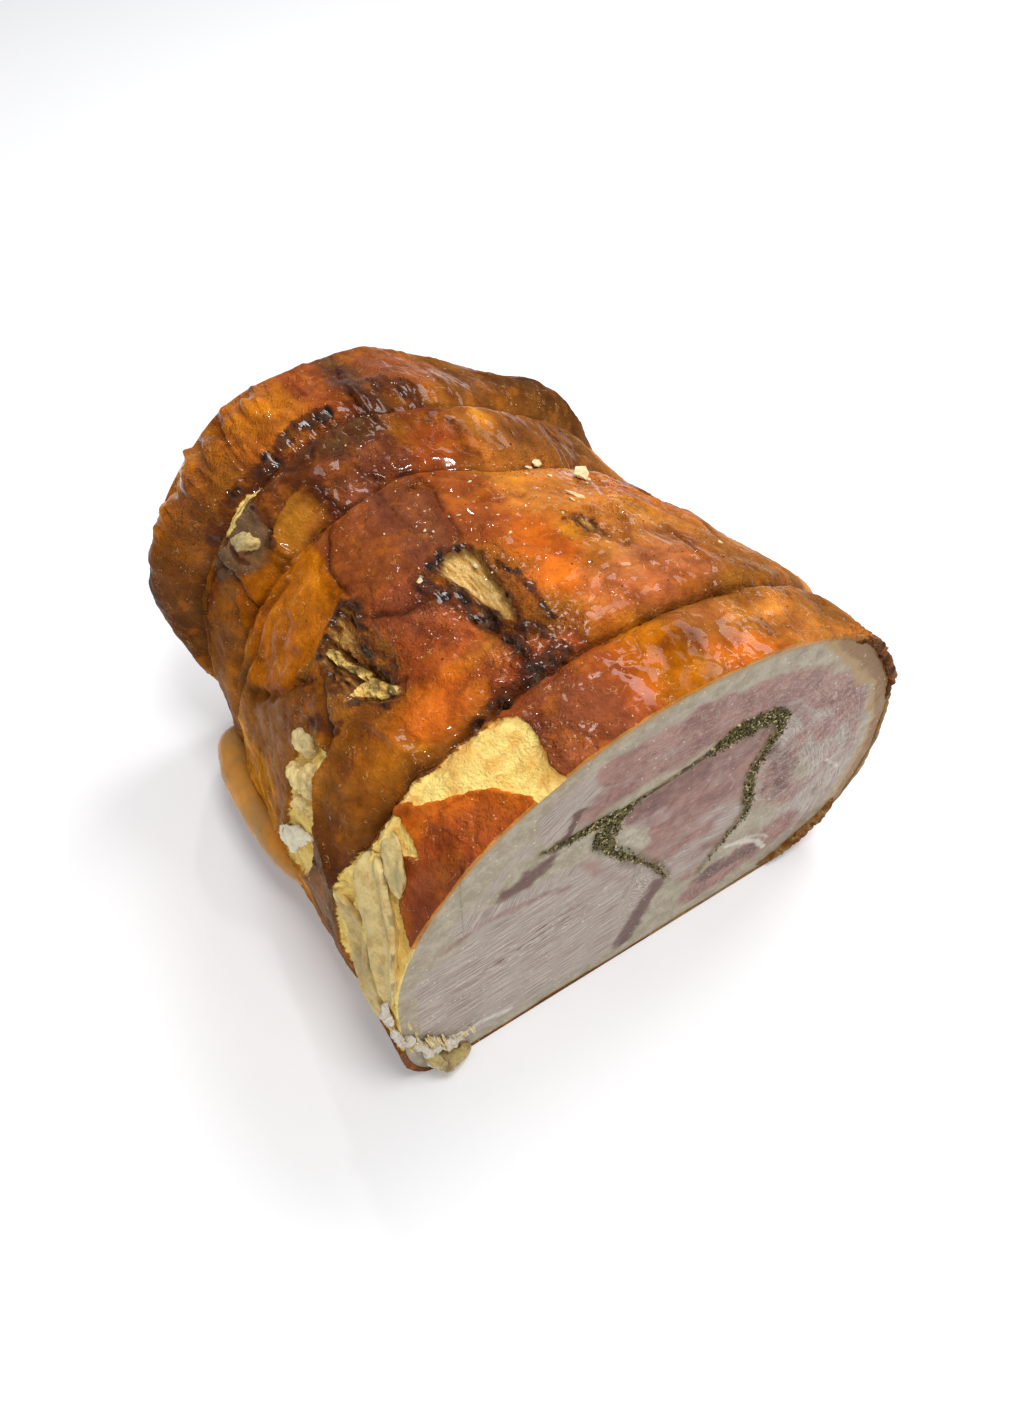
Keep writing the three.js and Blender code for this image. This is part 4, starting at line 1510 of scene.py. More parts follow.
        # the mark 'burnt' here is painted shade, and browning on the knot
        r.lay(r.mark("burnt") * 0.9, (70, 44, 26))
        fine = r.effect(Effect.WRINKLES, Scale=420, Pores=0.5)
        return r.finish(shade, (0.42, 0.62), fine, 0.0003)

    def _herbs(self) -> Material:
        """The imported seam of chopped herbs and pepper."""
        r = self._start("herb seam", 0.6, 0.2, 0.3, 0.05)
        middle, first, second = r.cells(1100)
        r.colour = r.blend(first, (56, 50, 34), (124, 112, 80))
        r.lay(r.step(second, 0.78, 0.86) * 0.8, (178, 158, 112))
        r.lay(r.step(r.mark("pale"), 0.2, 0.9) * 0.75, (186, 166, 92))
        r.lay(r.step(r.mark("meaty"), 0.3, 0.6) * 0.85, (160, 134, 108))
        return r.close(r.noise(900) * 0.5 + middle, 0.0004)

    def _flakes(self) -> Material:
        """Chopped herb, pepper and straw bits, one tint for each."""
        r = self._start("chopped herbs", 0.55, 0.25, 0.25, 0.05)
        tint = r.mark("tint")
        r.ramp(tint, 0.0, 0.6, (42, 40, 26), (112, 104, 68))
        r.lay(r.step(tint, 0.66, 0.7), (132, 124, 70))
        r.lay(r.step(tint, 0.84, 0.86), (206, 186, 140))
        r.colour = r.vary(r.colour, r.shade(900), 0.8, 1.2)
        return r.close(r.noise(2200), 0.0002)

    def _jelly(self) -> Material:
        """Set cooking juices: olive-amber, glossy, half clear."""
        r = self._start("set juices", 0.18, 1.0, 0.06, 0.5, 0.4, (0.01, 0.007, 0.003))
        shade = r.shade(120)
        r.ramp(shade, 0.38, 0.62, (124, 96, 42), (188, 168, 108))
        return r.finish(shade, (0.12, 0.26), r.noise(260), 0.0006)

    def _crumbs(self) -> Material:
        """Flakes of set fat and salt on the skin."""
        r = self._start("fat crumbs", 0.6, 0.1, 0.3, 0.25)
        r.ramp(r.shade(700), 0.38, 0.62, (214, 186, 126), (244, 228, 188))
        return r.close(r.noise(1500), 0.0003)

    def _cinder(self) -> Material:
        """Burnt sugar and juices, black and wet."""
        r = self._start("burnt juices", 0.22, 1.0, 0.08, 0.0)
        shade = r.shade(500)
        r.ramp(shade, 0.4, 0.65, (34, 20, 14), (84, 50, 28))
        return r.finish(shade, (0.2, 0.4), r.noise(1100), 0.0005)


# ---- skin
@dataclass
class SkinBands:
    """The skin in three bands that meet in the string grooves."""

    shop: Workshop
    form: RollForm
    survey: SkinSurvey
    fine: tuple[float, float] = (32, 206)

    def _band(
        self, name: str, steps: tuple[float, float], rings: list[tuple[float, float, float]]
    ) -> Piece:
        """A closed solid from rings.

        Args:
            name: the piece's name.
            steps: degrees between columns on top and elsewhere.
            rings: place along the skin, depth under it and shift towards the roast end.

        Returns:
            The new object.
        """
        table = np.array(rings, float)
        columns = spaced(SEAM_ANGLE, SEAM_ANGLE + 360, self.fine, steps)
        angle, y = np.meshgrid(columns, table[:, 0])
        inset, push = table[:, 1:2], table[:, 2:3]
        lift, marks = self.survey.read(angle, y)
        fade = ease(1 - inset / RIND)
        if table[-1, 0] == LENGTH:
            lift, fade = self._rolled_end(angle, inset, lift * fade, marks), 1.0
        cut = ((y == 0) & (inset > 0.1))[..., None]
        rim = Tone.CRUST.over(Tone.RIM.light, ease((84 - np.abs(angle + 24)) / 16))
        rim = Tone.BROWN.over(rim, ease((angle - 184) / 8))
        marks["tone"] = np.where(cut, mix(marks["tone"], rim, 0.8), marks["tone"])
        points = self.form.point(angle, y, lift * fade - inset, push)
        inner = UNDER_RIND * np.minimum(inset / RIND, 1)
        points[..., 2] = np.maximum(points[..., 2], inner)
        points[:, -1] = points[:, 0]
        return self.shop.close_grid(name, points, marks)

    def _rolled_end(self, angle: Array, inset: Array, lift: Array, marks: Marks) -> Array:
        """Browned meat with the roll's last turns, on the roast end inside its rim."""
        x, _, z = np.moveaxis(self.form.point(angle, LENGTH, -inset), -1, 0)
        away = np.hypot(x, z - AXIS_HEIGHT)
        inside = ease((inset - self.form.end.rim + 3) / 8) + 0 * angle
        noise = self.survey.soft.layers(x / 16, z / 16, 41.0)
        roll = self.survey.fine.at(x / 9, z / 9, 43.0)
        turns = (away + 5 * noise) / 30 + angle / 360
        seam = bell((turns - np.round(turns)) * 30 / (1.4 + roll)) * ease((inset - 12) / 10)
        seam = seam * ease((away - 10) / 12)
        brown = Tone.UMBER.over(Tone.BROWN.light, ease(0.5 + noise))
        light = ease(1.4 * self.survey.soft.at(x / 7, z / 7, 47.0))
        plain = {
            "tone": Tone.OCHRE.over(brown, 0.4 * light),
            "lie": np.stack([x / 10, z / 10, 0 * x], -1),
            # the seams between the turns get the creases' fine dark line and painted shade
            "crease": 0.9 * seam,
            "cleft": CLEFT_REACH - 3.8 * seam,
            "burnt": 0.0,
            "crinkle": 0.0,
            "greasy": 0.4,
        }
        for name, value in plain.items():
            share = inside[..., None] if np.ndim(value) == 3 else inside
            marks[name] = mix(marks[name], value, share)
        away_in = inside * (1.6 * noise - 1.8 * seam + 0.5 * roll)
        return lift * (1 - inside) - away_in

    @staticmethod
    def _rows(start: float, stop: float, step: float) -> Array:
        """Rows from start to stop, closer together beside the grooves at their ends."""
        middle = np.linspace(start + 2.5, stop - 2.5, int((stop - start - 5) / step))
        fine = np.linspace(0, 2.5, 7)[:-1]
        return np.concatenate([start + fine, middle, stop - fine[::-1]])

    def near(self) -> Piece:
        """From the cut to the first string, with the rind's cut edge."""
        crack = STRINGS[0].y
        rings = [(0, TO_AXIS, PLATE_DEPTH), (0, 20, PLATE_DEPTH), (0, RIND + 0.1, PLATE_DEPTH)]
        rings += [(0, RIND, 1.0), (0, RIND, 0.1), (0, RIND * 0.6, -0.12), (0, 0.25, -0.05)]
        rings += [(y, 0, 0) for y in np.arange(0.15, crack, 0.5)]
        rings += [(crack, 0, 0), (crack, 3, 0), (crack, 20, -0.5), (crack, TO_AXIS, -1)]
        return self._band("near_skin", (0.36, 0.9), rings)

    def middle(self) -> Piece:
        """Between the first string and the slipped second one."""
        start, stop = STRINGS[0].y, STRINGS[1].y
        rings = [(start, TO_AXIS, 1), (start, 20, 0.5), (start, 3, 0)]
        rings += [(y, 0, 0) for y in self._rows(start, stop, 0.84)]
        rings += [(stop, 3, 0), (stop, 20, -0.5), (stop, TO_AXIS, -1)]
        return self._band("middle_skin", (0.42, 1.05), rings)

    def far(self) -> Piece:
        """From the second string over the rim to the middle of the roast end."""
        start, end = STRINGS[1].y, self.form.end
        rings = [(start, TO_AXIS, 1), (start, 20, 0.5), (start, 3, 0)]
        rings += [(y, 0, 0) for y in self._rows(start, LENGTH, 0.8)]
        for tilt in np.radians(np.linspace(0, 90, 12)[1:]):
            rings.append((LENGTH, end.rim * (1 - math.cos(tilt)), end.rim * math.sin(tilt)))
        for share in np.linspace(0, 1, 34)[1:]:
            rings.append((LENGTH, end.rim + 1 + 106 * share, end.rim + end.dome * share))
        rings.append((LENGTH, TO_AXIS, end.rim + end.dome))
        return self._band("far_skin", (0.5, 1.05), rings)

    def build(self, finishes: Finishes) -> None:
        """Makes and dresses the three bands."""
        for piece in (self.near(), self.middle(), self.far()):
            self.shop.hand_over(piece, finishes.skin, Slot.RIND, "belly_wrap")


# ---- the cut face
SEAM = (
    (22, 33, 1.0), (27, 42, 1.1), (35, 53, 1.4), (42, 64, 2.1), (40, 76, 2.8), (38.5, 90, 2.2),
    (43, 102, 2.6), (47.5, 112, 3.0), (45, 121, 3.6), (34, 123.5, 4.4), (22, 124, 4.2), (12, 121, 1.3),
    (-4, 118.5, 0.9), (-18, 117, 1.2), (-26, 113, 3.8), (-31, 104, 4.4), (-27, 94, 2.0),
    (-20, 84, 2.2), (-9, 70, 1.4), (-2, 59, 1.6), (4, 47, 1.2),
)
SEAM_TAIL = ((-28, 115, 3.2), (-36, 116.5, 2.0), (-46, 116, 1.3), (-57, 117.5, 0.9))
LOIN_SAG = 9.0
THROUGH = 200.0  # how far back the loin and the herbs reach


@dataclass(frozen=True)
class Streak:
    """A muscle or a streak of fat in the cut face, along a path of (x, z)."""

    path: Path2
    half: float
    soft: float
    strength: float = 1.0


STREAKS = {
    "meat": (
        # pale grey muscle on the left, the arc under the top fat, the mixed right side
        Streak(((-112, 44), (-70, 60), (-24, 58)), 30, 5),
        Streak(((-98, 18), (-50, 20), (-22, 26)), 16, 5),
        Streak(((-84, 96), (-60, 92), (-38, 88)), 8, 4, 0.8),
        Streak(((-90, 100), (-60, 128), (-40, 138)), 5, 5, 0.6),
        Streak(((-48, 132), (-20, 140), (10, 141), (44, 130), (70, 108), (84, 84)), 12, 5, 0.9),
        Streak(((60, 100), (84, 80), (86, 50), (72, 30)), 15, 6, 0.9),
    ),
    "lean": (
        # left
        Streak(((-98, 90), (-70, 92), (-46, 84)), 2.2, 2.0, 0.55),
        Streak(((-38, 96), (-30, 80), (-16, 62)), 3.0, 3.0, 0.5),
        # the arc under the top fat
        Streak(((-31, 143), (-10, 144), (12, 143.5), (30, 142)), 7.5, 3.5),
        Streak(((26, 140), (51, 133), (73, 117), (90, 95)), 8.5, 4.0),
        Streak(((-40, 126), (-22, 129), (2, 130), (26, 131)), 5.5, 3.5, 0.8),
        Streak(((-36, 132), (-14, 134), (16, 134), (40, 130)), 4.0, 5.0, 0.6),
        Streak(((-60, 140), (-48, 146), (-34, 150)), 3.0, 5.0, 0.3),
        Streak(((52, 120), (62, 110), (66, 98), (60, 88)), 4.5, 4.0, 0.7),
        Streak(((92, 90), (96, 76), (94, 62)), 4, 4, 0.6),
        # under the loin and on the right
        Streak(((24, 18), (40, 22), (56, 24), (70, 30)), 10.0, 4.5, 0.9),
        Streak(((48, 92), (54, 80), (56, 66), (66, 56)), 9.0, 6.0, 0.75),
        Streak(((50, 84), (56, 96), (70, 98), (80, 88)), 4.4, 4.0, 0.8),
        Streak(((82, 86), (84, 70), (78, 56), (66, 50)), 3.4, 3.0, 0.6),
        Streak(((96, 40), (86, 26), (72, 18)), 3.0, 3.0, 0.4),
    ),
    "deep": (
        # left
        Streak(((-70, 105), (-61, 107.5), (-53, 109)), 5.2, 3.6, 0.85),
        Streak(((-50, 115), (-46, 123), (-43, 130)), 2.4, 1.8, 0.85),
        # under the loin and on the right
        Streak(((-14, 12), (-9, 24), (-4, 36), (0, 43)), 5.4, 4.5, 0.9),
        Streak(((-20, 48), (-12, 66), (-22, 80)), 2.5, 3.0, 0.45),
        Streak(((28, 25), (42, 25), (52, 24)), 6.2, 6.0, 0.85),
        Streak(((48, 98), (58, 86), (60, 72), (54, 60)), 5.0, 5.0, 0.6),
        Streak(((50, 70), (54, 78), (50, 88)), 1.6, 1.6, 0.6),
    ),
    "green": (
        Streak(((8, 12), (12, 26), (14, 38)), 6.0, 3.5, 0.3),
        Streak(((66, 88), (74, 78), (72, 66)), 4.0, 3.0, 0.35),
    ),
    "white": (
        Streak(((36, 41), (46, 36), (54, 29), (61, 19)), 1.8, 1.8),
        Streak(((44, 39), (56, 33), (62, 25)), 0.8, 1.8, 0.9),
        Streak(((42, 40), (52, 35), (58, 28)), 0.6, 1.6, 0.8),
        Streak(((84, 66), (89, 60), (94, 53)), 1.0, 1.6, 0.9),
        Streak(((44, 72), (50, 64), (57, 60), (66, 61)), 0.6, 1.6, 0.8),
        Streak(((52, 76), (60, 72), (66, 74), (70, 80)), 0.4, 1.6, 0.7),
        Streak(((58, 86), (66, 84), (76, 72), (80, 60)), 0.4, 1.8, 0.6),
        Streak(((28, 134), (32, 128), (30, 123)), 0.5, 1.8, 0.6),
        Streak(((24, 112), (25, 102), (30, 92), (29, 86)), 0.8, 1.8, 0.6),
        Streak(((-95, 14), (-84, 16), (-70, 12)), 2.0, 2.0, 0.9),
        Streak(((-36, 120), (-10, 122), (10, 124)), 0.7, 1.6, 0.4),
    ),
}
BLOB = ((-33, 101), (-24, 107), (-12, 96), (-9, 83), (-15, 79), (-26, 90))  # pale fat in the loin
Field = Callable[[Array, Array], Array]  # a value at each x and z of the cut


@dataclass
class CutFace:
    """The belly meat behind the knife cut, with a hollow for loin and herbs."""

    shop: Workshop
    form: RollForm
    soft: Lumpiness = field(default_factory=lambda: Lumpiness(51))
    fine: Lumpiness = field(default_factory=lambda: Lumpiness(67))

    def __post_init__(self) -> None:
        """Smooths the seam's line and finds the loin's outline."""
        self.seam = smooth_path(SEAM, 120)
        self.tail = smooth_path(SEAM_TAIL, 24)
        first, last = self.seam[0, :2], self.seam[-1, :2]
        sag = (first + last) / 2 - np.array([0, LOIN_SAG])
        t = np.linspace(0, 1, 8)[1:-1, None]
        under = (1 - t) ** 2 * last + 2 * t * (1 - t) * sag + t**2 * first
        self.loin_line = np.vstack([self.seam[:, :2], under])
        self.rim_turn, self.rim_reach = self.form.cut_outline(RIND + 0.05)

    def rim_gap(self, x: Array, z: Array) -> Array:
        """Signed distance to the inner edge of the rind, negative inside."""
        rise = z - AXIS_HEIGHT
        away = np.hypot(x, rise)
        turned = np.arctan2(rise, x)
        reach = np.interp(turned, self.rim_turn, self.rim_reach, period=2 * math.pi)
        beside = np.interp(turned + 0.01, self.rim_turn, self.rim_reach, period=2 * math.pi)
        slope = (beside - reach) / 0.01 / reach
        return (away - reach) / np.sqrt(1 + slope**2)

    @staticmethod
    def _beside(x: Array, z: Array, line: Array) -> Pair:
        """Distance to the middle of a line of herbs, and its half width there."""
        gap, place, _ = path_gap(x, z, line[:, :2])
        return gap, np.interp(place, np.arange(len(line)), line[:, 2])

    def seam_gap(self, x: Array, z: Array) -> Array:
        """Signed distance to the herb seam's edge, negative in the herbs."""
        gap, half = self._beside(x, z, self.seam)
        tail_gap, tail_half = self._beside(x, z, self.tail)
        wide = np.where(gap - half < tail_gap - tail_half, half, tail_half)
        ragged = 0.35 * wide * self.fine.layers(x / 4, z / 4, 1.0, 2)
        return np.minimum(gap - half, tail_gap - tail_half) + ragged

    def loin_gap(self, x: Array, z: Array) -> Array:
        """Signed distance to the loin's edge, negative inside."""
        return outline_gap(x, z, self.loin_line)

    def knife(self, x: Array, z: Array) -> Pair:
        """Relief of the knife's drag marks, and how strong they are."""
        across = z - 0.08 * x + 1.5 * self.soft.at(x / 60, z / 40, 2.0)
        lines = np.sin(2.1 * across + 5 * self.soft.at(x / 80, across / 9, 4.0))
        lines = lines * ease(0.55 + 1.3 * self.fine.at(x / 50, across / 2.6, 6.0))
        area = bell((x + 66) / 52) ** 0.5 * bell((z - 60) / 20)
        return 0.4 * area * lines, area

    def _bend(self, x: Array, z: Array, level: float) -> Array:
        """How far a place is moved so that edges wander."""
        fine = 1.1 * self.fine.layers(x / 4, z / 4, level)
        return 2.2 * self.soft.layers(x / 15, z / 15, level, 2) + fine

    def marks(self, x: Array, z: Array) -> Marks:
        """What shows at each place of the cut."""
        sway, drift = self._bend(x, z, 1.0), self._bend(x, z, 5.0)
        shown = {name: np.zeros(x.shape) for name in (*STREAKS, "rind")}

        def show(name: str, value: Array) -> None:
            shown[name] = np.maximum(shown[name], value)

        for name, streaks in STREAKS.items():
            bend = 0.35 if name == "white" else 1.0
            for streak in streaks:
                path = smooth_path(streak.path, 16)
                gap = path_gap(x + bend * sway, z + bend * drift, path)[0] - streak.half
                show(name, streak.strength * ease(0.5 - gap / (2 * streak.soft)))
        rim = -self.rim_gap(x, z)
        right = ease((x - 44) / 34) * ease((z - 10) / 16)
        wide = 8.5 + 4 * bell((z - 118) / 22) + 3 * self.soft.layers(x / 10, z / 10, 7.0, 2)
        show("rind", 1.3 * right * ease(1.3 - rim / np.maximum(right * wide, 0.5)))
        top = ease((z - 96) / 20)
        show("rind", 0.5 * top * ease(1 - (rim - 0.6) / 2.6))
        show("green", 0.7 * ease((16 - z) / 8) * ease(1 - (rim - 0.4) / 1.8))
        fatty = 5.5 + 2.5 * self.soft.layers(x / 16, z / 16, 3.0, 2) + 2 * ease((x - 30) / 40)
        shown["lean"] *= ease((rim - fatty) / 2.5)
        shown["meat"] *= ease((rim - fatty) / 2.5)
        shown["green"] += 0.22 * top * ease((fatty - rim) / 2) * ease((rim - 1.5) / 2)
        show("green", 0.6 * bell(self.seam_gap(x, z) / 2.4))
        swirl = bell((x - 70) / 30) * bell((z - 74) / 34)
        shown["veined"] = np.clip(swirl + 0.7 * shown["lean"] * ease((x + 40) / 30), 0, 1)
        drag, area = self.knife(x, z)
        # the knife marks are laid pale on their ridges and dark in their grooves
        show("white", ease(drag * 9 - 1.7) * area)
        show("deep", 0.7 * ease(-drag * 9 - 1.9) * area)
        # painted shade: the deep mark grows towards the right, darkening that side of the cut
        show("deep", 0.3 * ease((x - 12) / 40))
        away = np.hypot(x, z - AXIS_HEIGHT)
        ring = np.stack([np.arctan2(z - AXIS_HEIGHT, x) * 70, away + 0.5 * sway, 0.0 * x], -1)
        level = np.stack([x, z - 0.08 * x + 0.4 * drift, 0.0 * x + 50], -1)
        left = ((x < -14) & (z < 92)) | (x < -88)
        shown["grain"] = np.where(left[..., None], level, ring)
        return shown

    def relief(self, x: Array, z: Array) -> Array:
        """Height of the cut's surface; towards the viewer is negative y."""
        wave = 0.35 * self.soft.layers(x / 30, z / 22, 8.0, 2)
        grit = 0.10 * self.fine.layers(x / 2.4, z / 2.4, 3.0, 2)
        swirl = bell((x - 72) / 30) * bell((z - 72) / 34)
        ragged = 0.9 * swirl * self.soft.layers(x / 9, z / 7, 11.0, 3)
        return wave + grit + ragged + self.knife(x, z)[0]

    def plate(
        self, name: str, gap: Field, box: tuple[float, float, float, float], cell: float,
        depth: float, sink: Field, marks: Callable[[Array, Array], Marks],
    ) -> Piece:
        """A closed plate whose front is a fine grid inside an outline.

        Args:
            name: the piece's name.
            gap: signed distance to the outline, negative inside.
            box: lowest x and z, highest x and z to cover.
            cell: size of the grid's squares.
            depth: how far back the plate reaches.
            sink: the front's distance behind the cut.
            marks: the marks.

        Returns:
            The new object.
        """
        low, high = np.array(box[:2]), np.array(box[2:])
        across, up = (int(side) for side in (high - low) / cell)
        bm = bmesh.new()
        bmesh.ops.create_grid(bm, x_segments=across, y_segments=up, size=1)
        x, z = self._spread(bm, low, high)
        bm.verts.ensure_lookup_table()
        outside = np.flatnonzero(gap(x, z) > -0.25 * cell)
        bmesh.ops.delete(bm, geom=[bm.verts[k] for k in outside], context="VERTS")
        self._trim(bm)
        x, z = self._spread(bm, low, high)
        edge = np.array([v.is_boundary for v in bm.verts])
        for _ in range(3):
            off = gap(x[edge], z[edge])
            slope_x = (gap(x[edge] + 0.05, z[edge]) - off) / 0.05
            slope_z = (gap(x[edge], z[edge] + 0.05) - off) / 0.05
            steep = np.maximum(slope_x**2 + slope_z**2, 0.25)
            shift = np.clip(off / steep, -cell, cell)
            x[edge] -= shift * slope_x
            z[edge] -= shift * slope_z
        for vertex, across, up in zip(bm.verts, x, z):
            vertex.co = (across, up, 0)
        rim = [e for e in bm.edges if e.is_boundary]
        made = bmesh.ops.extrude_edge_only(bm, edges=rim)["geom"]
        back = {v for v in made if isinstance(v, bmesh.types.BMVert)}
        loop = [e for e in made if isinstance(e, bmesh.types.BMEdge)]
        bmesh.ops.triangle_fill(bm, use_beauty=False, edges=loop)
        x, z = np.array([v.co.xy[:] for v in bm.verts]).T
        behind = np.array([v in back for v in bm.verts])
        y = np.where(behind, depth, sink(x, z))
        return self.shop.dress(name, bm, np.stack([x, y, z], -1), marks(x, z))

    @staticmethod
    def _spread(bm: bmesh.types.BMesh, low: Array, high: Array) -> Pair:
        """The x and z of a grid's points, from its own -1 to 1."""
        own = np.array([v.co.xy[:] for v in bm.verts])
        return tuple(mix(low, high, (own + 1) / 2).T.copy())

    @staticmethod
    def _trim(bm: bmesh.types.BMesh) -> None:
        """Deletes loose points and points where two areas meet at a corner only."""
        while True:
            bad = [
                v for v in bm.verts
                if not v.link_faces or sum(e.is_boundary for e in v.link_edges) > 2
            ]
            if not bad:
                return
            bmesh.ops.delete(bm, geom=bad, context="VERTS")

    def belly(self) -> Piece:
        """The belly's cut face."""

        def sink(x: Array, z: Array) -> Array:
            hollow = np.minimum(self.seam_gap(x, z), self.loin_gap(x, z))
            return 0.35 - self.relief(x, z) * 0.9 + SOCKET * ease(-hollow / 0.8)

        box, depth = (-121, 0, 121, 169), PLATE_DEPTH - 0.2
        return self.plate("cut_belly", self.rim_gap, box, 0.66, depth, sink, self.marks)

    def loin(self) -> Piece:
        """The loin, which runs through the roll."""

        def gap(x: Array, z: Array) -> Array:
            seam, half = self._beside(x, z, self.seam)
            return np.maximum(self.loin_gap(x, z), half - 1.2 - seam)

        def marks(x: Array, z: Array) -> Marks:
            shown = self.marks(x, z)
            blob = outline_gap(x, z, BLOB)
            blob = ease(0.5 - (blob + 2 * self.soft.at(x / 6, z / 6)) / 3)
            patch = 0.5 + 0.5 * self.soft.layers(x / 18, z / 10, 3.0, 2) + 0.5 * ease((z - 60) / 50)
            shown["deep"] = 0.5 * ease((z - 92) / 16) * (1 - blob)
            shown["lean"] = np.clip(patch, 0.3, 1.0) * (1 - blob)
            shown["meat"] = 1 - blob
            shown["white"] = np.maximum(shown["white"], 0.45 * blob)
            shown["grain"] = np.stack([x, z + 0.25 * x, 0.0 * x + 40], -1)
            return shown

        def sink(x: Array, z: Array) -> Array:
            return 0.3 - 0.8 * self.relief(x, z) - 0.5 * bell(gap(x, z) / 1.5)

        return self.plate("loin", gap, (-40, 20, 54, 130), 0.6, THROUGH, sink, marks)

    def seam_piece(self) -> Piece:
        """The herb seam with its tail."""

        def marks(x: Array, z: Array) -> Marks:
            pale = bell((x - 38) / 7) * bell((z - 60) / 9)
            pale = pale + 0.7 * bell((x - 22) / 8) * bell((z - 34) / 7)
            thin = ease((2.3 - self._beside(x, z, self.seam)[1]) / 0.7)
            return {
                "pale": pale * (0.6 + self.fine.at(x / 3, z / 3)),
                "meaty": thin * (0.45 + 0.9 * self.fine.layers(x / 4, z / 4, 33.0, 2)),
            }

        def sink(x: Array, z: Array) -> Array:
            return 0.25 - 0.9 * self.fine.layers(x / 2.6, z / 2.6, 9.0, 3)

        box = (-62, 28, 54, 131)
        return self.plate("herb_seam", self.seam_gap, box, 0.45, THROUGH, sink, marks)

    def build(self, finishes: Finishes) -> None:
        """Makes and dresses the cut's pieces."""
        self.shop.hand_over(self.belly(), finishes.cut, Slot.MEAT, "belly_wrap")
        self.shop.hand_over(self.loin(), finishes.cut, Slot.LOIN, "loin_core")
        self.shop.hand_over(self.seam_piece(), finishes.herbs, Slot.HERBS, "herb_filling")


# ---- folds, lumps and bits
CORNER_SCRAPS = (
    (-119, 1.5, 74), (-119, 0.4, 62), (-118, 0, 52), (-115, -0.8, 43), (-110, -1.2, 34),
    (-104, -1.4, 27), (-97, -1, 20), (-90, 0, 16),
)
TURNED_RIM = Fold(
    (
        (-98, 173, 31), (-109, 167, 32), (-114.5, 153, 32.5), (-116, 136, 33),
        (-116.5, 118, 33.5), (-115.5, 101, 34), (-112, 87, 34), (-107, 76, 34), (-100, 67, 33),
    ),
    (5.5, 8.0, 8.2, 8.0, 7.8, 8.0, 7.2, 5.6, 3.0), (5.5, 7.6, 7.8, 7.6, 7.4, 7.4, 6.6, 5.0, 2.6),
    0.5, 14, seed=5, around=60, along=150,
)
JUICES = Fold(
    ((-108, 1, 25), (-106, -1.6, 16), (-102, -2.2, 9), (-96, -1.8, 6), (-89, 0, 4.5)),
    (2.0, 4.2, 5.6, 4.2, 2.0), (2.0, 3.2, 3.8, 3.2, 2.0), 1.0, 7, seed=41, around=50,
)


def knob(path: Path3, half: float, thick: float, seed: int) -> Fold:
    """A lump of fat on the skin."""
    halves = (half * 0.8, half, half * 0.8)
    return Fold(path, halves, (thick * 0.8, thick, thick * 0.8), 1.7, 4.5, seed=seed, around=60, along=60)


# torn fat on the skin: whiteness, a brown that is painted shade on the flap, fringe and under-flap and
# browning on the knot, and a fold along (angle, y, height over the skin)
TORN_FAT = {
    "fat_flap": (0.0, 0.16, Fold(
        ((151, 32, 0.8), (154, 25, 2.0), (159, 16, 2.8), (166, 8, 2.6), (175, 1.5, 1.4)),
        (5.0, 9.5, 9.0, 7.0, 4.5), (1.8, 2.8, 3.0, 2.6, 1.6), 0.9, 16, 1.3, 1.6, 8, 110, 120,
    )),
    "fat_fringe": (0.0, 0.12, Fold(
        ((145.5, 31, 0.0), (147, 24, 1.2), (149, 18, 1.4), (152, 12, 0.8)),
        (2.8, 5.0, 4.6, 1.6), (1.2, 1.8, 1.8, 1.0), 0.8, 9, 0.9, 0.8, 9, 60, 70,
    )),
    "fat_under_flap": (0.1, 0.18, Fold(
        ((164, 39, 0.2), (170, 30, 1.4), (176, 19, 1.8), (183, 9, 1.6), (189, 3, 0.6)),
        (3.5, 7.5, 8.5, 7.5, 4.0), (1.6, 2.4, 2.6, 2.4, 1.4), 1.0, 9, 1.6, 0.8, 12, 80, 90,
    )),
    "fat_lump_1": (0.0, 0.0, knob(((151, 87, 0.4), (149.5, 81, 1.4), (150, 75, 0.6)), 4.2, 3.6, 21)),
    "fat_lump_2": (0.0, 0.0, knob(((156, 84, 0.2), (155.5, 77, 1.5), (154, 70, 0.6)), 4.4, 3.8, 22)),
    "fat_lump_3": (0.1, 0.0, knob(((151.5, 75, 0.4), (152, 69, 1.7), (154, 63, 0.4)), 4.4, 3.8, 23)),
    "fat_lump_4": (0.2, 0.0, knob(((159, 77, 0.0), (158.5, 71, 1.2), (158, 65, 0.0)), 4.0, 3.4, 24)),
    "white_fat": (1.0, 0.0, Fold(
        ((181, 92, 0.8), (175, 83, 1.6), (170, 74, 1.2), (166, 66, 0.4)),
        (3.0, 6.2, 4.0, 1.0), (1.0, 1.6, 1.4, 0.7), 1.5, 4.5, seed=31, around=50, along=50,
    )),
    "waist_knot": (0.0, 0.3, Fold(
        ((138, 174, 0.0), (136.5, 169, 2.2), (135, 163, 0.2)),
        (2.4, 3.8, 2.4), (2.0, 3.2, 2.0), 1.3, 4, seed=33, around=50, along=50,
    )),
}
# pale scraps of meat at the foot: path and half width
MEAT_SCRAPS = (
    (((-119, 2.0, 74), (-120, 1.0, 66), (-119, 0.6, 58)), 1.2),
    (((-119, 0.6, 54), (-117, -0.6, 45), (-112, -0.6, 38)), 2.0),
    (((-113, 0.0, 37), (-108, -2.2, 29), (-102, -0.5, 22)), 3.4),
    (((-104, -0.2, 25), (-98, -1.6, 20), (-91, 0.3, 17)), 2.6),
)
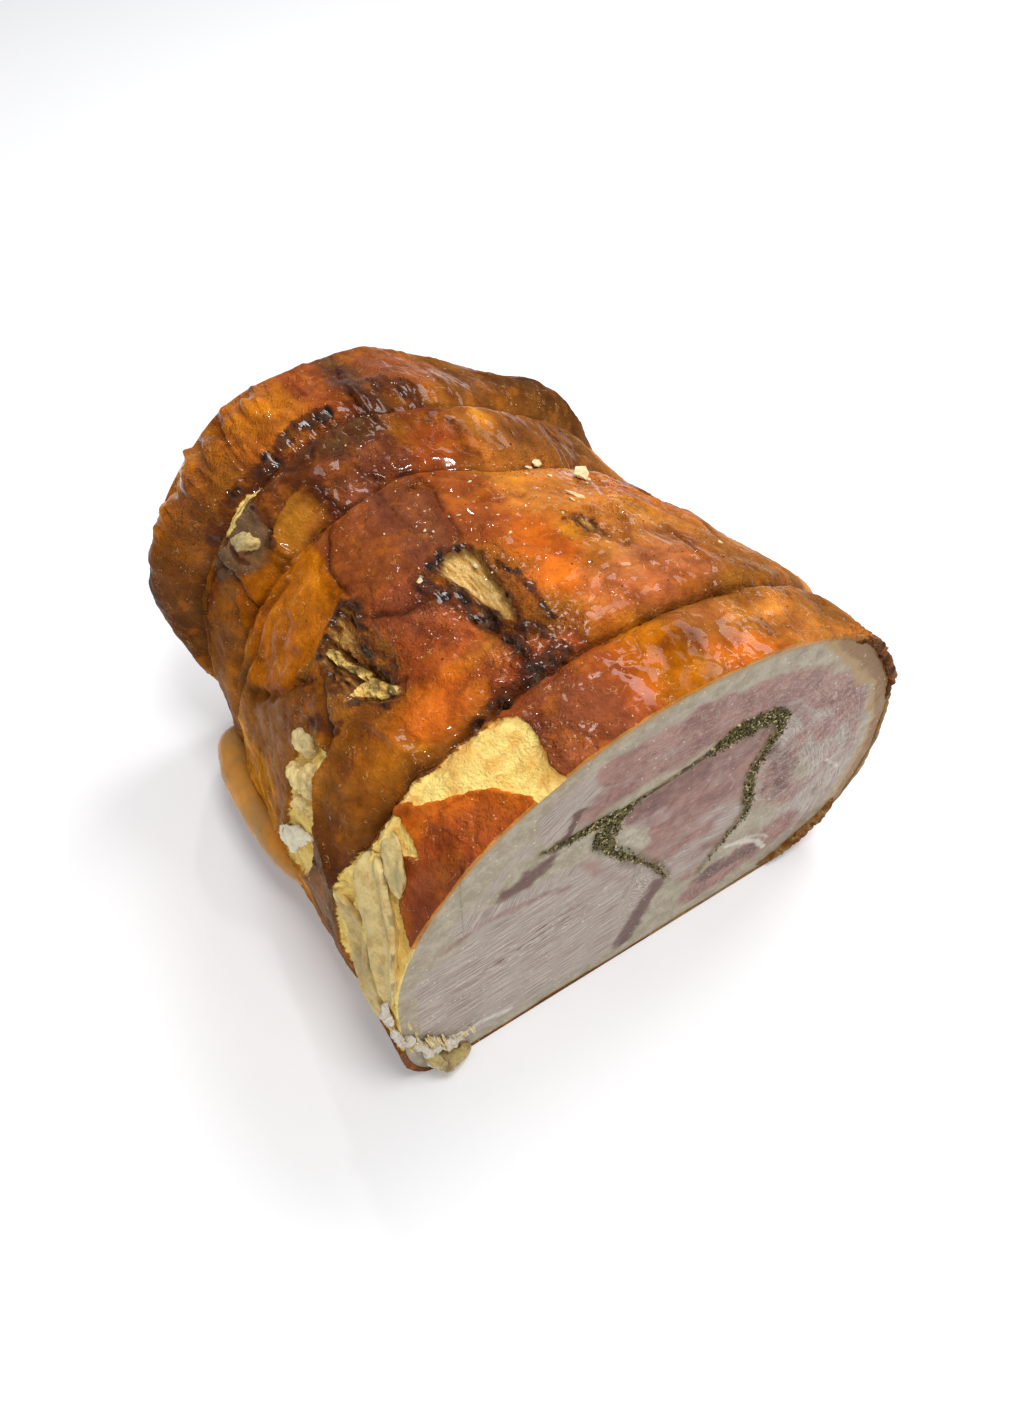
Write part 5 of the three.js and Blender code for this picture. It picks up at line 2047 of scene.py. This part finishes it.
# flakes of fat and salt: angle, y, length, width
FLAKES = (
    (68, 127, 13, 7.0), (77, 101, 11, 2.8), (70, 156, 8.5, 4.4), (73, 155, 4.0, 2.2),
    (77, 126, 2.4, 1.6), (55, 60, 2.6, 1.8), (101, 110, 2.6, 1.2), (108, 112, 1.8, 1.2),
    (107, 109, 1.6, 1.0), (115, 93, 3.6, 2.2), (105, 88, 3.0, 1.6), (84, 90, 1.8, 1.2),
    (94, 128, 2.0, 1.2), (96, 90, 1.6, 1.0), (79, 97, 3.2, 1.4), (66, 124, 3.0, 1.8),
)


@dataclass
class Trimmings:
    """The turned-in rim, torn fat, set juices, crumbs and burnt bits."""

    shop: Workshop
    form: RollForm
    survey: SkinSurvey
    face: CutFace
    finishes: Finishes

    def _seat(self, angle: Array, y: Array, lift: Array) -> Array:
        """Places at a height over the skin's fine surface, or before the cut where y is negative."""
        on_skin = np.clip(y, 0, LENGTH)
        height, _ = self.survey.read(angle, on_skin)
        return self.form.point(angle, on_skin, height + lift, np.minimum(y, 0))

    def _on_skin(self, fold: Fold) -> Fold:
        """A fold whose path is (angle, y, height over the skin), laid on the skin."""
        return replace(fold, path=self._seat(*np.array(fold.path, float).T))

    def _lay(
        self, name: str, points: Array, marks: Marks,
        finish: Material, slot: Slot, *nodes: str,
    ) -> None:
        """Makes and hands over one fold."""
        self.shop.hand_over(self.shop.close_grid(name, points, marks), finish, slot, *nodes)

    def turned_rim(self) -> None:
        """The rolled-under edge of the skin along the left flank."""
        points, _, along = fold_points(TURNED_RIM)
        x, y, z = points.transpose(2, 0, 1)
        noise = Lumpiness(71).layers(x / 18, y / 24, z / 9)
        tone = mix(1.1 * Tone.RIM.light, 1.35 * Tone.CRUST.light, ease(0.4 + 0.5 * noise)[..., None])
        tone = Tone.BROWN.over(tone, 0.7 * ease((along - 0.72) / 0.2))
        # painted shade: darker on the lower side of the rolled edge
        tone = Tone.UMBER.over(tone, 0.8 * ease((34 - z) / 9))
        finish = self.finishes.rolled
        self._lay("turned_rim", points, {"tone": tone}, finish, Slot.RIND, "belly_wrap")

    def torn_fat(self) -> None:
        """The fat flap at the near corner and the lumps behind the skin's tongue."""
        for name, (white, brown, fold) in TORN_FAT.items():
            points, place, _ = fold_points(self._on_skin(fold))
            noise = Lumpiness(19).layers(*(points.transpose(2, 0, 1) / 6), 2)
            # painted shade: brown along the fold's sides, where it meets the skin, added to the piece's own
            # brown
            edge = ease((np.abs(place) - 0.9) / 0.1) * ease(noise * 2)
            marks = {"white": 0 * place + white, "burnt": brown + 0.5 * edge}
            self._lay(name, points, marks, self.finishes.fat, Slot.FAT)

    def rim_crusts(self) -> None:
        """Ragged browned skin that curls over the cut at the right."""
        dark = ((47, 0.8, -2.2), (40, 0.0, -1.4), (31, -0.5, -1.2), (22, 0.0, -1.4), (13, 0.8, -2.2))
        low = ((60, 1.0, 3.5), (72, -0.6, 7), (85, -0.8, 12.5), (95, -0.5, 19), (101, 1.0, 27))
        half, thick = (1.0, 1.9, 2.1, 1.8, 1.0), (1.0, 1.6, 1.8, 1.6, 1.0)
        for name, tone, path, seed in (
            ("dark_crust", Tone.UMBER, dark, 5), ("low_crust", Tone.CRUST, low, 6)
        ):
            fold = Fold(path, half, thick, 0.8, 3.5, seed=seed, around=44, along=150)
            points, place, _ = fold_points(self._on_skin(fold) if path is dark else fold)
            noise = Lumpiness(seed).layers(*(points.transpose(2, 0, 1) / 5), 2)
            zero = 0 * place
            marks = dict.fromkeys(("rich", "thread", "crease", "crinkle"), zero) | {
                "tone": Tone.BROWN.over(tone.light, ease(0.4 + noise)),
                "burnt": 0.5 * ease(-noise),
                "bare": zero - EDGE_REACH,
                "torn": zero - EDGE_REACH,
                "lie": 0 * points,
                "cleft": zero + CLEFT_REACH,
                "greasy": zero + 0.5,
            }
            self._lay(name, points, marks, self.finishes.skin, Slot.RIND, "belly_wrap")

    def set_juices(self) -> None:
        """The blob of set juices at the near corner and pale meat scraps beside it."""
        points, place, _ = fold_points(JUICES)
        self._lay("set_juices", points, {"white": 0 * place}, self.finishes.jelly, Slot.FAT)
        for number, (path, half) in enumerate(MEAT_SCRAPS, 1):
            halves = (0.5 * half, half, 0.5 * half)
            fold = Fold(path, halves, (1.0, 1.7, 1.0), 1.5, 3, seed=50 + number, around=44, along=56)
            points, place, _ = fold_points(fold)
            marks = dict.fromkeys(("lean", "deep", "green", "rind", "veined"), 0 * place) | {
                "meat": 0 * place + 0.6,
                "white": 0 * place + 0.85,
                "grain": points[..., [0, 2, 1]] * (1, 1, 0),
            }
            self._lay(f"meat_scrap_{number}", points, marks, self.finishes.cut, Slot.MEAT)
        draw = np.random.default_rng(57)
        line = smooth_path(CORNER_SCRAPS, 60)
        count = 150
        pick = np.clip(draw.normal(42, 11, count), 0, 60).astype(int)
        places = line[pick] + draw.normal(0, 1.9, (count, 3)) * (1, 0.4, 1)
        long = draw.uniform(1.0, 4.2, (count, 1)) ** 1.1
        chips = Chips(draw)
        chips.drop(places, long * (1, 0.6, 0.3))
        self._scatter(chips, "corner_scraps", 58, self.finishes.crumbs, Slot.FAT)

    def _scatter(self, chips: Chips, name: str, seed: int, finish: Material, slot: Slot) -> None:
        """Joins bits that lie flat on the roll, and hands them over."""
        self.shop.hand_over(chips.build(self.shop, name, seed, self._outward), finish, slot)

    def herb_flakes(self) -> None:
        """Chopped herbs that stand out of the seam."""
        draw = np.random.default_rng(81)
        chips = Chips(draw)
        for line, count in ((self.face.seam, 2300), (self.face.tail, 260)):
            steps = np.linalg.norm(np.diff(line[:, :2], axis=0), axis=1)
            weight = steps * np.maximum(line[1:, 2] - 0.9, 0.06)
            pick = draw.choice(len(steps), count, p=weight / weight.sum())
            share = draw.random(count)[:, None]
            middle = mix(line[pick], line[pick + 1], share)
            ahead = (line[pick + 1] - line[pick])[:, :2] / steps[pick, None]
            off = np.clip(draw.normal(0, 0.5, count), -1.25, 1.25) * (middle[:, 2] + 0.2)
            x = middle[:, 0] - ahead[:, 1] * off
            z = middle[:, 1] + ahead[:, 0] * off
            y = draw.uniform(-1.0, 0.35, count)
            size = draw.uniform(0.5, 1.9, (count, 1)) * (1.0, 0.55, 0.28)
            chips.drop(np.stack([x, y, z], -1), size)

        def out(places: Array) -> Array:
            lean = draw.normal(0, 0.55, (len(places), 3)) + np.array([0.0, -1.0, 0.0])
            return lean / np.linalg.norm(lean, axis=1, keepdims=True)

        piece = chips.build(self.shop, "herb_flakes", 83, out)
        self.shop.hand_over(piece, self.finishes.flakes, Slot.HERBS)

    @staticmethod
    def _outward(places: Array) -> Array:
        """The direction away from the roll's axis."""
        away = (places - (0, 0, AXIS_HEIGHT)) * (1, 0, 1)
        return away / np.linalg.norm(away, axis=1, keepdims=True)

    def crumbs(self) -> None:
        """Flakes of set fat and salt lying on the skin."""
        draw = np.random.default_rng(91)
        chips = Chips(draw)
        angle, y, long, wide = np.array(FLAKES, float).T
        size = np.stack([long, wide, 0.35 * wide + 0.4], -1)
        chips.drop(self._seat(angle, y, 0.2 * wide), size)
        count = 110
        angle = draw.choice((70, 84, 96, 108), count) + draw.normal(0, 6, count)
        y = np.clip(draw.normal(112, 42, count), 3, 205)
        long = draw.uniform(0.4, 1.25, (count, 1)) ** 1.6
        chips.drop(self._seat(angle, y, 0.1 + 0 * y), long * (1, 0.7, 0.4))
        self._scatter(chips, "crumbs", 93, self.finishes.crumbs, Slot.CRUMBS)

    def burnt_bits(self) -> None:
        """Burnt juices crusted round the gashes and in the grooves."""
        draw = np.random.default_rng(101)
        chips = Chips(draw)
        for path, spread, count in (
            (((123, 32), (118, 34), (112, 35.5), (104, 35)), 1.6, 14),
            (((128, 187), (120, 190), (110, 191)), 1.8, 10),
        ):
            angle, y = smooth_path(path, 40)[draw.integers(0, 41, count)].T
            angle = angle + draw.normal(0, spread, count) / ARC
            y = y + draw.normal(0, spread, count)
            long = 1.1 * draw.uniform(0.25, 1, count)
            chips.drop(self._seat(angle, y, 0.1 * long), long[:, None] * (1, 0.75, 0.5))
        count = 240
        angle, y = draw.uniform(48, 92, count), draw.uniform(36, 200, count)
        long = draw.uniform(0.35, 0.9, (count, 1))
        chips.drop(self._seat(angle, y, 0.05 + 0 * y), long * (1, 0.8, 0.5))
        self._scatter(chips, "burnt_bits", 103, self.finishes.cinder, Slot.RIND)

    def build(self) -> None:
        """Makes and dresses every trimming."""
        self.turned_rim()
        self.torn_fat()
        self.rim_crusts()
        self.set_juices()
        self.herb_flakes()
        self.crumbs()
        self.burnt_bits()


# ---- studio
@dataclass(frozen=True)
class Lamp:
    """A soft square light."""

    name: str
    place: tuple[float, float, float]
    size: float
    power: float


@dataclass
class Studio:
    """Pale floor, soft lights and the camera."""

    aim: tuple[float, float, float] = (0.0254, 0.0227, 0.0)
    eye: tuple[float, float, float] = (-0.1665, -0.2728, 0.4274)
    focal: float = 28.16
    lamps: tuple[Lamp, ...] = (
        Lamp("window", (0.95, 0.35, 1.45), 0.7, 15.0),
        Lamp("ceiling", (0.05, -0.45, 1.7), 0.5, 13.0),
        Lamp("near_lamp", (-0.5, -0.9, 1.15), 0.07, 4.0),
        Lamp("back_lamp", (0.3, 1.0, 1.35), 0.05, 2.0),
    )

    def build(self) -> None:
        """Makes the floor, world, lights and camera."""
        self._floor()
        self._world()
        for lamp in self.lamps:
            data = bpy.data.lights.new(lamp.name, "AREA")
            data.size = lamp.size
            data.energy = lamp.power
            self._aimed(lamp.name, data, lamp.place, (0.0, 0.0, 0.06))
        data = bpy.data.cameras.new("camera")
        data.lens = self.focal
        data.clip_start = 0.01
        camera = self._aimed("camera", data, self.eye, self.aim)
        bpy.context.scene.camera = camera
        bpy.context.scene.view_settings.view_transform = "Standard"

    @staticmethod
    def _aimed(name: str, data: bpy.types.ID, place: tuple, aim: tuple) -> Piece:
        """An object at a place that looks at the aim."""
        made = bpy.data.objects.new(name, data)
        made.location = place
        away = Vector(aim) - Vector(place)
        made.rotation_euler = away.to_track_quat("-Z", "Y").to_euler()
        bpy.context.scene.collection.objects.link(made)
        return made

    @staticmethod
    def _floor() -> None:
        """A wide plain floor."""
        mesh = bpy.data.meshes.new("floor")
        bm = bmesh.new()
        bmesh.ops.create_grid(bm, x_segments=1, y_segments=1, size=4)
        bm.to_mesh(mesh)
        bm.free()
        floor = bpy.data.objects.new("floor", mesh)
        bpy.context.scene.collection.objects.link(floor)
        material = bpy.data.materials.new("pale floor")
        material.use_nodes = True
        shader = material.node_tree.nodes["Principled BSDF"]
        shader.inputs["Base Color"].default_value = (0.93, 0.93, 0.94, 1)
        shader.inputs["Roughness"].default_value = 0.9
        shader.inputs["Specular IOR Level"].default_value = 0.1
        shader.inputs["Emission Color"].default_value = (1, 1, 1, 1)
        shader.inputs["Emission Strength"].default_value = 0.07
        mesh.materials.append(material)

    @staticmethod
    def _world() -> None:
        """Even pale light all round."""
        world = bpy.data.worlds.new("studio")
        world.use_nodes = True
        background = world.node_tree.nodes["Background"]
        background.inputs["Color"].default_value = (0.97, 0.98, 1.0, 1)
        background.inputs["Strength"].default_value = 0.3
        bpy.context.scene.world = world


def main() -> None:
    """Builds the studio and every piece of the roast."""
    logging.basicConfig(level=logging.INFO, format="%(name)s: %(message)s")
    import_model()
    Studio().build()
    shop = Workshop(RoastFrame.from_wrap())
    form = RollForm()
    survey = SkinSurvey()
    finishes = Finishes()
    SkinBands(shop, form, survey).build(finishes)
    face = CutFace(shop, form)
    face.build(finishes)
    Trimmings(shop, form, survey, face, finishes).build()
    log.info("pieces: %s", ", ".join(shop.made))


if __name__ == "__main__":
    main()
